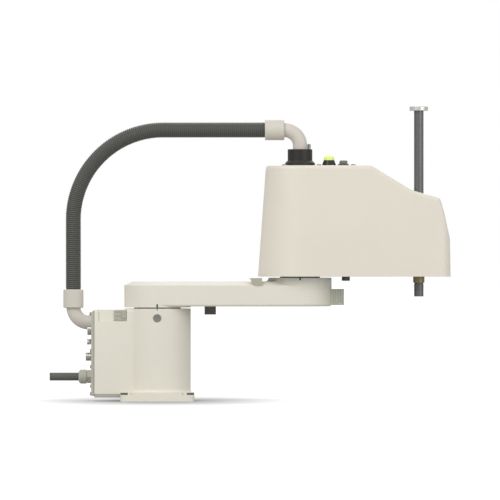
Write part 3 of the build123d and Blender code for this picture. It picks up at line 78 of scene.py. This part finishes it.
camera_data = bpy.data.cameras.new("camera")
camera_data.sensor_width = SENSOR
camera_data.lens = SENSOR * CAMERA_DISTANCE / view_width
camera_data.clip_end = CLIP_END
camera = bpy.data.objects.new("camera", camera_data)
camera.location = (view_x, -CAMERA_DISTANCE, view_z)
camera.rotation_euler = (math.pi / 2, 0, 0)
bpy.context.scene.collection.objects.link(camera)
bpy.context.scene.camera = camera
bpy.context.scene.view_settings.view_transform = "Standard"
print("lens", round(camera_data.lens, 1), "mm, picture width", round(view_width, 3), "m")

# %% [markdown]
# Small helpers make the rest short. One puts a mesh into the scene and hangs it on a body
# of the robot. The others lay rings of points round a line and join them into one skin,
# which is how a hose or a cable gets its shape.


# %% Mesh helpers
def put(name, mesh, body, material, smooth=True):
    """Add a mesh as a piece that moves with one of the robot's bodies."""
    piece = bpy.data.objects.new(name, mesh)
    bpy.context.scene.collection.objects.link(piece)
    mesh.materials.append(material)
    mesh.shade_smooth() if smooth else mesh.shade_flat()
    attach(piece, body)
    return piece


def grid_mesh(name, rings):
    """Join rings of points, all with the same number of points, into one closed skin."""
    rings = np.asarray(rings, float)
    count, around = rings.shape[:2]
    i, j = np.meshgrid(np.arange(count - 1), np.arange(around), indexing="ij")
    k = (j + 1) % around
    faces = np.stack([i * around + j, i * around + k, (i + 1) * around + k, (i + 1) * around + j], -1)
    faces = faces.reshape(-1, 4).tolist()
    faces.append(list(range(around))[::-1])
    faces.append(list(range((count - 1) * around, count * around)))
    mesh = bpy.data.meshes.new(name)
    mesh.from_pydata(rings.reshape(-1, 3).tolist(), [], faces)
    mesh.update()
    return mesh


def rings_along(points, radius, around):
    """Rings square to a line in the XZ plane. The radius is one value or one for each point."""
    angles = np.linspace(0, 2 * math.pi, around, endpoint=False)
    tangent = np.gradient(points, axis=0)
    tangent /= np.linalg.norm(tangent, axis=1)[:, None]
    side = np.array([0.0, 1.0, 0.0])
    normal = np.cross(tangent, side)
    ring = np.cos(angles)[None, :, None] * normal[:, None] + np.sin(angles)[None, :, None] * side
    radius = np.broadcast_to(radius, len(points))
    return points[:, None] + radius[:, None, None] * ring


# %% [markdown]
# Shared effects are shader node groups with named inputs, so a finish only has to say
# how strong each effect is. The helpers below build the groups. Every pattern is laid by
# the surface's own place on its object, so it stays where it is when an arm turns.


# %% Node helpers
def new_group(name, inputs, outputs):
    """A shader node group with float or colour sockets, given as (name, kind, value)."""
    group = bpy.data.node_groups.new(name, "ShaderNodeTree")
    for socket_name, kind, value in inputs:
        socket = group.interface.new_socket(socket_name, in_out="INPUT", socket_type="NodeSocket" + kind)
        socket.default_value = value
    for socket_name, kind in outputs:
        group.interface.new_socket(socket_name, in_out="OUTPUT", socket_type="NodeSocket" + kind)
    start = group.nodes.new("NodeGroupInput")
    end = group.nodes.new("NodeGroupOutput")
    return group, start, end


def add(tree, kind, **values):
    """Add a node, setting its properties and input sockets by name."""
    node = tree.nodes.new("ShaderNode" + kind)
    for key, value in values.items():
        if hasattr(node, key):
            setattr(node, key, value)
        else:
            node.inputs[key.replace("_", " ")].default_value = value
    return node


def math_node(tree, operation, a, b=0.0, clamp=False):
    """A maths node on sockets or numbers, giving its output socket."""
    node = tree.nodes.new("ShaderNodeMath")
    node.operation = operation
    node.use_clamp = clamp
    for socket, value in zip(node.inputs, (a, b)):
        if isinstance(value, (int, float)):
            socket.default_value = value
        else:
            tree.links.new(value, socket)
    return node.outputs[0]


def own_place(tree):
    """The surface's point as its own object sees it."""
    return tree.nodes.new("ShaderNodeTexCoord").outputs["Object"]


# %% [markdown]
# Real castings and mouldings have no razor edges. Cycles can bend the shading normal
# close to an edge, which gives every CAD edge a thin highlight without touching its mesh.
# The same trick tells how near an edge is, which later lets an edge be a little lighter: a painted
# highlight.


# %% Soft edges group
BEVEL_SAMPLES = 4
EDGE_GAIN = 4.0
soft_edges, start, end = new_group(
    "soft_edges", [("Radius", "Float", 0.001)], [("Normal", "Vector"), ("Edge", "Float")]
)
bevel = soft_edges.nodes.new("ShaderNodeBevel")
bevel.samples = BEVEL_SAMPLES
soft_edges.links.new(start.outputs["Radius"], bevel.inputs["Radius"])
surface = soft_edges.nodes.new("ShaderNodeNewGeometry")
agreement = soft_edges.nodes.new("ShaderNodeVectorMath")
agreement.operation = "DOT_PRODUCT"
soft_edges.links.new(bevel.outputs[0], agreement.inputs[0])
soft_edges.links.new(surface.outputs["Normal"], agreement.inputs[1])
turned_away = math_node(soft_edges, "SUBTRACT", 1.0, agreement.outputs["Value"])
edge_mask = math_node(soft_edges, "MULTIPLY", turned_away, EDGE_GAIN, clamp=True)
soft_edges.links.new(bevel.outputs[0], end.inputs["Normal"])
soft_edges.links.new(edge_mask, end.inputs["Edge"])
print("group", soft_edges.name, "made")

# %% [markdown]
# Sprayed enamel and moulded plastic are never quite even. A slow noise shifts the tone
# by a few percent, a finer one makes the skin wavy like orange peel, and the finest one
# is the grain of a spark-eroded mould. Each finish takes what it needs.


# %% Skin group
skin, start, end = new_group(
    "skin",
    [("Wave size", "Float", 0.003), ("Grain size", "Float", 0.0006), ("Grain share", "Float", 0.5)],
    [("Height", "Float"), ("Tone", "Float")],
)
place = own_place(skin)
heights = []
for size_input in ("Wave size", "Grain size"):
    per_metre = math_node(skin, "DIVIDE", 1.0, start.outputs[size_input])
    noise = add(skin, "TexNoise", Detail=2.0, Roughness=0.5)
    skin.links.new(place, noise.inputs["Vector"])
    skin.links.new(per_metre, noise.inputs["Scale"])
    heights.append(noise.outputs[0])
fine = math_node(skin, "MULTIPLY", heights[1], start.outputs["Grain share"])
skin.links.new(math_node(skin, "ADD", heights[0], fine), end.inputs["Height"])
slow = add(skin, "TexNoise", Scale=7.0, Detail=3.0, Roughness=0.55)
skin.links.new(place, slow.inputs["Vector"])
skin.links.new(slow.outputs[0], end.inputs["Tone"])
print("group", skin.name, "made")

# %% [markdown]
# Turned and ground metal carries fine lines that run round its axis, so the pattern
# changes quickly along the axis and hardly round it. Stretching a noise does that.
# The stretch is an input, because some pieces are turned about X and others about Z.


# %% Tool marks group
tool_marks, start, end = new_group(
    "tool_marks", [("Stretch", "Vector", (40.0, 40.0, 3000.0))], [("Height", "Float"), ("Tone", "Float")]
)
stretched = tool_marks.nodes.new("ShaderNodeVectorMath")
stretched.operation = "MULTIPLY"
tool_marks.links.new(own_place(tool_marks), stretched.inputs[0])
tool_marks.links.new(start.outputs["Stretch"], stretched.inputs[1])
lines = add(tool_marks, "TexNoise", Scale=1.0, Detail=3.0, Roughness=0.6)
tool_marks.links.new(stretched.outputs[0], lines.inputs["Vector"])
tool_marks.links.new(lines.outputs[0], end.inputs["Height"])
tool_marks.links.new(lines.outputs[0], end.inputs["Tone"])
print("group", tool_marks.name, "made")

# %% [markdown]
# A fine film of dust settles on faces that look up and stays off walls. The direction
# of the surface gives that mask, and a noise breaks it up. Laid thick on the dark hose,
# the same pale film is a painted highlight along its top.


# %% Dust and painted top light group
UPWARD_FROM = 0.6
DUST_AND_TOP_LIGHT_GAIN = 3.0
dust_and_top_light, start, end = new_group("dust_and_top_light", [("Amount", "Float", 0.2)], [("Mask", "Float")])
surface = dust_and_top_light.nodes.new("ShaderNodeNewGeometry")
parts = dust_and_top_light.nodes.new("ShaderNodeSeparateXYZ")
dust_and_top_light.links.new(surface.outputs["Normal"], parts.inputs[0])
facing_up = math_node(dust_and_top_light, "SUBTRACT", parts.outputs["Z"], UPWARD_FROM, clamp=True)
patches = add(dust_and_top_light, "TexNoise", Scale=60.0, Detail=4.0, Roughness=0.6)
dust_and_top_light.links.new(own_place(dust_and_top_light), patches.inputs["Vector"])
patchy = math_node(dust_and_top_light, "MULTIPLY", facing_up, patches.outputs[0])
amount = math_node(dust_and_top_light, "MULTIPLY", patchy, start.outputs["Amount"])
dust_and_top_light.links.new(math_node(dust_and_top_light, "MULTIPLY", amount, DUST_AND_TOP_LIGHT_GAIN, clamp=True), end.inputs["Mask"])
print("group", dust_and_top_light.name, "made")

# %% [markdown]
# A finish is one material. Its colour is given as it looks in daylight, in steps of 0 to
# 255, and is turned into the linear values that a renderer needs. The tone noise runs
# from a slightly darker to a slightly lighter version of that colour. Blender's mix node
# keeps a pair of sockets for each kind of value, and the colours' sockets go by number.


# %% Finish maker
def linear(colour, factor=1.0):
    """The linear colour for red, green and blue from 0 to 255, by the sRGB curve."""
    steps = [c / 255 for c in colour]
    values = [s / 12.92 if s <= 0.04045 else ((s + 0.055) / 1.055) ** 2.4 for s in steps]
    return tuple(min(1.0, v * factor) for v in values) + (1.0,)


DUST_AND_TOP_LIGHT_COLOUR = linear((196, 192, 180))
NOISE_LOW = 0.3
NOISE_HIGH = 0.7
ROUGH_LOW = 0.88
ROUGH_HIGH = 1.12
MIX_FIRST = 6
MIX_SECOND = 7
MIX_RESULT = 2
finishes = {}


def group_node(tree, group, **inputs):
    node = tree.nodes.new("ShaderNodeGroup")
    node.node_tree = group
    for key, value in inputs.items():
        node.inputs[key.replace("_", " ")].default_value = value
    return node


def mix_colour(tree, factor, a, b):
    """Mix two colours, given as sockets or values, and give the result's socket."""
    node = tree.nodes.new("ShaderNodeMix")
    node.data_type = "RGBA"
    tree.links.new(factor, node.inputs["Factor"])
    for key, value in ((MIX_FIRST, a), (MIX_SECOND, b)):
        if isinstance(value, tuple):
            node.inputs[key].default_value = value
        else:
            tree.links.new(value, node.inputs[key])
    return node.outputs[MIX_RESULT]


def range_node(tree, value, low, high):
    """Spread a noise, which mostly stays between two levels, over low to high."""
    node = tree.nodes.new("ShaderNodeMapRange")
    node.inputs["From Min"].default_value = NOISE_LOW
    node.inputs["From Max"].default_value = NOISE_HIGH
    node.inputs["To Min"].default_value = low
    node.inputs["To Max"].default_value = high
    tree.links.new(value, node.inputs["Value"])
    return node.outputs["Result"]


def finish(name, colour, roughness, pattern, bump, variation=0.04, metallic=0.0, edge_radius=0.0008,
           edge_gain=1.08, dust_and_top_light_amount=0.15, **constants):
    """A material with tone, grain and soft edges. pattern is a group and its inputs."""
    material = bpy.data.materials.new(name)
    material.use_nodes = True
    tree = material.node_tree
    shader = tree.nodes["Principled BSDF"]
    shader.inputs["Metallic"].default_value = metallic
    for key, value in constants.items():
        shader.inputs[key.replace("_", " ")].default_value = value
    edges = group_node(tree, soft_edges, Radius=edge_radius)
    group, inputs = pattern
    marks = group_node(tree, group, **inputs)
    tone = range_node(tree, marks.outputs["Tone"], 0.0, 1.0)
    base = mix_colour(tree, tone, linear(colour, 1 - variation), linear(colour, 1 + variation))
    # Edges take a lighter copy of the colour: a painted highlight on every edge.
    edge_highlighted = mix_colour(tree, edges.outputs["Edge"], base, linear(colour, edge_gain))
    # Faces that look up take a pale film: dust, and on the hose a painted highlight.
    film = group_node(tree, dust_and_top_light, Amount=dust_and_top_light_amount)
    dusted_and_top_lit = mix_colour(tree, film.outputs["Mask"], edge_highlighted, DUST_AND_TOP_LIGHT_COLOUR)
    tree.links.new(dusted_and_top_lit, shader.inputs["Base Color"])
    rough = range_node(tree, marks.outputs["Height"], roughness * ROUGH_LOW, roughness * ROUGH_HIGH)
    tree.links.new(rough, shader.inputs["Roughness"])
    bumps = tree.nodes.new("ShaderNodeBump")
    bumps.inputs["Strength"].default_value = 1.0
    bumps.inputs["Distance"].default_value = bump
    tree.links.new(marks.outputs["Height"], bumps.inputs["Height"])
    tree.links.new(edges.outputs["Normal"], bumps.inputs["Normal"])
    tree.links.new(bumps.outputs[0], shader.inputs["Normal"])
    finishes[name] = material
    return material


# %% [markdown]
# The castings wear a satin enamel in warm off-white, and the cover is moulded in nearly
# the same colour. Enamel shows gentle waves, moulded plastic a fine even grain. Each line
# gives a finish's name, colour, roughness, pattern, bump height in metres and, last, how
# much its tone changes.

# %% Enamel and plastics
ENAMEL_SKIN = (skin, {"Wave_size": 0.0035, "Grain_size": 0.0007, "Grain_share": 0.3})
MOULD_SKIN = (skin, {"Wave_size": 0.0020, "Grain_size": 0.0004, "Grain_share": 0.8})
RUBBER_SKIN = (skin, {"Wave_size": 0.0016, "Grain_size": 0.0003, "Grain_share": 1.0})
finish("paint", (228, 224, 210), 0.42, ENAMEL_SKIN, 0.00006, 0.02)
finish("cover_plastic", (226, 220, 206), 0.38, MOULD_SKIN, 0.00003, 0.015)
finish("panel_metal", (186, 183, 172), 0.40, ENAMEL_SKIN, 0.00004, 0.04)
finish("conduit_grey", (209, 202, 192), 0.40, MOULD_SKIN, 0.00004, 0.03)
finish("collar_grey", (207, 203, 191), 0.45, MOULD_SKIN, 0.00004, 0.03)
finish("gland_grey", (182, 183, 168), 0.42, MOULD_SKIN, 0.00004, 0.03)
finish("fitting_black", (30, 28, 25), 0.40, MOULD_SKIN, 0.00004, 0.06, edge_gain=1.4)
finish("bezel_grey", (70, 70, 65), 0.40, MOULD_SKIN, 0.00004, 0.05, edge_gain=1.3)
finish("button_grey", (112, 112, 101), 0.38, MOULD_SKIN, 0.00003, 0.05)
finish("end_block_grey", (198, 199, 183), 0.45, MOULD_SKIN, 0.00005, 0.04)
finish("stop_metal", (176, 173, 154), 0.45, ENAMEL_SKIN, 0.00005, 0.04)
finish("battery_plastic", (31, 31, 36), 0.35, MOULD_SKIN, 0.00003, 0.05)
finish("board_green", (20, 92, 52), 0.35, MOULD_SKIN, 0.00002, 0.08)
print(len(finishes), "finishes so far")

# %% [markdown]
# Rubber and cable jackets are dark and matt, with a coarse skin that scatters light.
# The hose's mesh stores how deep each point lies in a groove, under the name groove, and
# its colour is mixed towards a darker one by that depth: painted shade in the grooves.


# %% Rubbers
def shade_grooves(material, colour, share):
    """Darken a material where the mesh's groove attribute is high: painted shade in grooves."""
    tree = material.node_tree
    target = tree.nodes["Principled BSDF"].inputs["Base Color"]
    depth = add(tree, "Attribute", attribute_name="groove")
    factor = math_node(tree, "MULTIPLY", depth.outputs["Fac"], share)
    tree.links.new(mix_colour(tree, factor, target.links[0].from_socket, linear(colour)), target)


# The hose's thick pale film on its top faces is a painted highlight.
finish("hose_black", (84, 85, 80), 0.50, RUBBER_SKIN, 0.00003, 0.05, edge_radius=0.0003, dust_and_top_light_amount=0.5)
# Painted shade in the hose's grooves.
shade_grooves(finishes["hose_black"], (40, 40, 38), 0.55)
finish("cable_grey", (91, 92, 85), 0.55, RUBBER_SKIN, 0.00005, 0.06)
finish("stop_rubber", (94, 95, 88), 0.62, RUBBER_SKIN, 0.00008, 0.08)
finish("seal_rubber", (28, 28, 28), 0.65, RUBBER_SKIN, 0.00008, 0.10)
finish("belt_rubber", (22, 22, 22), 0.60, RUBBER_SKIN, 0.00008, 0.10)
print(len(finishes), "finishes so far")

# %% [markdown]
# Metals differ in how they were made. The shaft is ground, pulleys and rings are turned,
# the tray is cast and left rough, and the small tie plate is zinc plated. The number
# after the change of tone says how metallic a finish is.

# %% Metals
ROUND_Z = (tool_marks, {"Stretch": (30.0, 30.0, 2600.0)})
ROUND_X = (tool_marks, {"Stretch": (2600.0, 30.0, 30.0)})
CAST_SKIN = (skin, {"Wave_size": 0.0022, "Grain_size": 0.0008, "Grain_share": 0.9})
finish("shaft_steel", (115, 115, 115), 0.38, ROUND_Z, 0.000002, 0.02, 0.85, dust_and_top_light_amount=0.0)
finish("cap_steel", (224, 225, 219), 0.34, ROUND_Z, 0.000002, 0.02, 0.9, dust_and_top_light_amount=0.05)
finish("gear_steel", (176, 178, 180), 0.30, ROUND_Z, 0.000008, 0.05, 1.0)
finish("bush_brass", (146, 134, 98), 0.32, ROUND_Z, 0.000008, 0.06, 1.0)
finish("fitting_brass", (208, 205, 193), 0.30, ROUND_X, 0.000008, 0.06, 1.0)
finish("connector_metal", (186, 186, 180), 0.30, ROUND_X, 0.000008, 0.05, 1.0)
finish("steel_screws", (160, 160, 154), 0.32, ROUND_X, 0.000008, 0.08, 1.0)
finish("zinc_plate", (186, 186, 170), 0.42, ENAMEL_SKIN, 0.00003, 0.06, 0.6)
finish("cast_aluminium", (186, 186, 184), 0.50, CAST_SKIN, 0.00010, 0.05, 0.9)
finish("pulley_aluminium", (196, 196, 198), 0.34, ROUND_Z, 0.000008, 0.05, 1.0)
finish("motor_black", (38, 38, 40), 0.42, ENAMEL_SKIN, 0.00005, 0.08, edge_gain=1.6)
print(len(finishes), "finishes so far")

# %% [markdown]
# The status lamp has a clear tinted lens. Light goes in, scatters a little and comes
# out yellow-green, so it looks bright even when the lamp is off. Transmission with
# some roughness gives that, and a weak painted glow stands in for the scattered light.


# %% Lamp lens material
def lens_finish():
    material = finish("lamp_yellow", (230, 245, 150), 0.20, MOULD_SKIN, 0.00001, 0.03, dust_and_top_light_amount=0.0,
                      Transmission_Weight=0.35, IOR=1.49, Emission_Strength=0.18)
    shader = material.node_tree.nodes["Principled BSDF"]
    # A weak painted glow, in place of the light scattered in the lens.
    shader.inputs["Emission Color"].default_value = linear((220, 240, 120))


lens_finish()
print(len(finishes), "finishes in all")

# %% [markdown]
# Every node of the frame now takes the finish that its record names.

# %% Dress the frame
slot_of = {row["node"]: row["material_slot"] for row in frame["record"]["subparts"]}
for name, node in nodes.items():
    material = finishes[slot_of[name]]
    if not node.material_slots:
        node.data.materials.append(material)
    for slot in node.material_slots:
        slot.material = material
print(len(nodes), "nodes dressed")

# %% [markdown]
# The umbilical hose is a corrugated conduit that carries the outer arm's cables. It leaves
# the rear fitting upwards, arches forward over the first axis and ends in the collar on
# the second axis. A smooth curve through a few points gives its line, and rings along that
# line, wide and narrow in turn, give the corrugations.

# %% Hose line
HOSE_STEP = 0.0007
LINE_STEPS = 48
HOSE_ROUTE = [
    (-0.1770, 0.2152),
    (-0.1771, 0.3440),
    (-0.1772, 0.4190),
    (-0.1484, 0.4885),
    (-0.0953, 0.5416),
    (-0.0258, 0.5704),
    (0.0494, 0.5704),
    (0.2458, 0.5705),
]


def smooth_line(name, points):
    """Points along a NURBS curve that has the given control points."""
    curve = bpy.data.curves.new(name, "CURVE")
    curve.dimensions = "3D"
    spline = curve.splines.new("NURBS")
    spline.points.add(len(points) - 1)
    for point, place in zip(spline.points, points):
        point.co = (*place, 1.0)
    spline.order_u = 3
    spline.use_endpoint_u = True
    spline.resolution_u = LINE_STEPS
    carrier = bpy.data.objects.new(name, curve)
    mesh = bpy.data.meshes.new_from_object(carrier)
    line = np.array([v.co for v in mesh.vertices])
    bpy.data.objects.remove(carrier)
    bpy.data.meshes.remove(mesh)
    return line


def along(line, step):
    """The same line as points at one even step, and its whole length."""
    spans = np.linalg.norm(np.diff(line, axis=0), axis=1)
    reached = np.concatenate([[0.0], np.cumsum(spans)])
    count = max(2, int(round(reached[-1] / step)) + 1)
    marks = np.linspace(0, reached[-1], count)
    return np.stack([np.interp(marks, reached, line[:, k]) for k in range(3)], -1), reached[-1]


hose_line = smooth_line("hose_line", [(x, 0.0, z) for x, z in HOSE_ROUTE])
hose_points, hose_length = along(hose_line, HOSE_STEP)
print("hose length", round(hose_length, 4), "m")

# %% [markdown]
# Each corrugation is a rounded rib and a narrower groove. Its shape is a raised cosine
# with a power, which makes the ribs fuller than the grooves. The grooves get painted
# shade, so the mesh also stores how deep each ring lies.

# %% Hose mesh
HOSE_R = 16.3 * MM
HOSE_PITCH = 4.2 * MM
HOSE_AROUND = 40
RIB_DEPTH = 1.5 * MM
RIB_FULLNESS = 0.55


def hose_mesh(points, length):
    """Rings round the line, wide at the ribs and narrow in the grooves."""
    reached = np.linspace(0, length, len(points))
    wave = 0.5 - 0.5 * np.cos(2 * math.pi * reached / HOSE_PITCH)
    depth = RIB_DEPTH * (1 - wave**RIB_FULLNESS)
    mesh = grid_mesh("umbilical_conduit", rings_along(points, HOSE_R - depth, HOSE_AROUND))
    groove = mesh.attributes.new("groove", "FLOAT", "POINT")
    groove.data.foreach_set("value", np.repeat(depth / RIB_DEPTH, HOSE_AROUND).astype(np.float32))
    return mesh


conduit_mesh = hose_mesh(hose_points, hose_length)
print("hose mesh has", len(conduit_mesh.vertices), "points")

# %% [markdown]
# The hose is held by the base's collar at one end and by the collar over the second axis
# at the other. Here it stays one fixed piece in its rest shape.

# %% Hose piece
hose = bpy.data.objects.new("umbilical_conduit", conduit_mesh)
bpy.context.scene.collection.objects.link(hose)
conduit_mesh.materials.append(finishes["hose_black"])
conduit_mesh.shade_smooth()
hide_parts("umbilical_hose")
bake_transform(hose)

# %% [markdown]
# The supply cable leaves the gland straight to the rear and ends in a clean cut a little
# behind the robot. It is stiff and smooth, so plain rings along its line are enough.

# %% Supply cable
CABLE_R = 8.5 * MM
CABLE_Z = 51.4 * MM
CABLE_AROUND = 48
CABLE_STEP = 0.004
CABLE_ROUTE = [(x, 0.0, CABLE_Z) for x in (-0.112, -0.150, -0.188, -0.227)]
cable_line, cable_length = along(smooth_line("cable_line", CABLE_ROUTE), CABLE_STEP)
cable_mesh = grid_mesh("supply_cable", rings_along(cable_line, CABLE_R, CABLE_AROUND))
cable = put("supply_cable", cable_mesh, "base", finishes["cable_grey"])
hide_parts("power_cable")
print("cable length", round(cable_length, 4), "m")

# %% [markdown]
# Each axis has a short engraved mark that shows the zero position, filled with dark paint.
# A thin strip lies on the floor of each engraving, a little below the surface round it.
# The corner pockets of the mounting plate take thin dark sheets on their walls: painted
# shade in the pockets. All corners here are in millimetres, from the first axis.


# %% Marks and painted pocket shade
def box_mesh(name, boxes):
    """Thin boxes given by their two corners in millimetres, as one mesh."""
    shape = bmesh.new()
    for low, high in boxes:
        low, high = Vector(low) * MM, Vector(high) * MM
        made = bmesh.ops.create_cube(shape, size=1.0)["verts"]
        for vert in made:
            vert.co = Vector(low[k] + (vert.co[k] + 0.5) * (high[k] - low[k]) for k in range(3))
    mesh = bpy.data.meshes.new(name)
    shape.to_mesh(mesh)
    shape.free()
    return mesh


BASE_MARK = [((-0.75, -69.2, 190.8), (0.75, -68.95, 194.4))]
ARM_MARKS = [((-1.5, -69.2, 197.2), (1.5, -68.95, 203.8)), ((298.5, -65.5, 254.7), (301.5, -65.25, 259.2))]
POCKET_WALL = 53.0
POCKET_OUT = 77.2
POCKET_LOW = 13.6
POCKET_HIGH = 18.2
POCKET_CORNER = 9.0
SHADE_SHEET = 0.25

# Dark sheets on the walls of the plate's corner pockets: painted shade in the pockets.
wall = (POCKET_WALL, POCKET_WALL + SHADE_SHEET)
reach = (POCKET_WALL + POCKET_CORNER, POCKET_OUT)
shade_sheets = []
for sx in (-1, 1):
    for sy in (-1, 1):
        for across, beside in ((reach, wall), (wall, reach)):
            x0, x1 = sorted(sx * v for v in across)
            y0, y1 = sorted(sy * v for v in beside)
            shade_sheets.append(((x0, y0, POCKET_LOW), (x1, y1, POCKET_HIGH)))

trims = [
    ("base_axis_mark", BASE_MARK, "base", "seal_rubber"),
    ("arm_axis_marks", ARM_MARKS, "inner_arm", "seal_rubber"),
    ("pocket_linings", shade_sheets, "base", "stop_rubber"),
]
for name, boxes, body, slot in trims:
    put(name, box_mesh(name, boxes), body, finishes[slot], smooth=False)
print("three marks and", len(shade_sheets), "pocket walls")

# %% [markdown]
# The robot stands on a plain pale floor. To the camera, floor and surroundings are white,
# but the floor still darkens where the robot shades it. Its glow rises with the distance
# from the robot, in an oval as narrow as the base, so a painted soft shadow lies round the base.

# %% Floor
FLOOR_SIZE = 120.0
NEAR_GLOW = 0.0
FAR_GLOW = 0.80
GLOW_RISE = (0.2, 0.9)
SHADOW_SHAPE = (2.5, 1.0, 0.0)
FLOOR_TONE = 0.5


def floor_material():
    material = bpy.data.materials.new("pale_floor")
    material.use_nodes = True
    tree = material.node_tree
    tree.nodes.remove(tree.nodes["Principled BSDF"])
    output = tree.nodes["Material Output"]
    matt = tree.nodes.new("ShaderNodeBsdfDiffuse")
    matt.inputs["Color"].default_value = (FLOOR_TONE,) * 3 + (1,)
    glow = tree.nodes.new("ShaderNodeEmission")
    path = tree.nodes.new("ShaderNodeLightPath")
    spot = tree.nodes.new("ShaderNodeNewGeometry")
    # Glow low near the base and high far off: a painted soft shadow round the base.
    away = add(tree, "VectorMath", operation="LENGTH")
    squeezed = add(tree, "VectorMath", operation="MULTIPLY")
    squeezed.inputs[1].default_value = SHADOW_SHAPE
    tree.links.new(spot.outputs["Position"], squeezed.inputs[0])
    tree.links.new(squeezed.outputs["Vector"], away.inputs[0])
    rise = tree.nodes.new("ShaderNodeMapRange")
    for key, value in zip(("From Min", "From Max", "To Min", "To Max"), (*GLOW_RISE, NEAR_GLOW, FAR_GLOW)):
        rise.inputs[key].default_value = value
    tree.links.new(away.outputs["Value"], rise.inputs["Value"])
    seen = math_node(tree, "MULTIPLY", path.outputs["Is Camera Ray"], rise.outputs["Result"])
    tree.links.new(seen, glow.inputs["Strength"])
    total = tree.nodes.new("ShaderNodeAddShader")
    tree.links.new(matt.outputs[0], total.inputs[0])
    tree.links.new(glow.outputs[0], total.inputs[1])
    tree.links.new(total.outputs[0], output.inputs["Surface"])
    return material


floor_mesh = bpy.data.meshes.new("floor")
half = FLOOR_SIZE / 2
floor_corners = [(-half, -half, 0), (half, -half, 0), (half, half, 0), (-half, half, 0)]
floor_mesh.from_pydata(floor_corners, [], [(0, 1, 2, 3)])
floor_mesh.materials.append(floor_material())
floor = bpy.data.objects.new("floor", floor_mesh)
bpy.context.scene.collection.objects.link(floor)
print("floor of", FLOOR_SIZE, "m")

# %% [markdown]
# Soft studio light comes from everywhere, a little more from the upper left in front.
# The levels are set so that a colour looks about as it was written.

# %% Light
WORLD_LIGHT = 0.68
world = bpy.data.worlds.new("studio")
bpy.context.scene.world = world
world.use_nodes = True
world_tree = world.node_tree
background = world_tree.nodes["Background"]
background.inputs["Color"].default_value = (1, 1, 1, 1)
rays = world_tree.nodes.new("ShaderNodeLightPath")
seen = math_node(world_tree, "MAXIMUM", rays.outputs["Is Camera Ray"], rays.outputs["Is Transmission Ray"])
extra = math_node(world_tree, "MULTIPLY", seen, 1.0 - WORLD_LIGHT)
level = math_node(world_tree, "ADD", extra, WORLD_LIGHT)
world_tree.links.new(level, background.inputs["Strength"])


def soft_light(name, place, aim, size, power):
    """A square area light of the given size in metres and power in watts."""
    data = bpy.data.lights.new(name, "AREA")
    data.size = size
    data.energy = power
    lamp = bpy.data.objects.new(name, data)
    lamp.location = place
    lamp.rotation_euler = (Vector(aim) - Vector(place)).to_track_quat("-Z", "Y").to_euler()
    bpy.context.scene.collection.objects.link(lamp)


LIGHTS = [
    ("key_light", (-1.4, -2.6, 2.6), (0.15, 0, 0.3), 2.2, 58),
    ("fill_light", (2.4, -2.0, 1.2), (0.2, 0, 0.3), 2.0, 18),
    ("back_light", (0.6, 2.8, 2.2), (0.2, 0, 0.3), 2.2, 24),
]
for light in LIGHTS:
    soft_light(*light)
print(len(LIGHTS), "soft lights and an even surround")
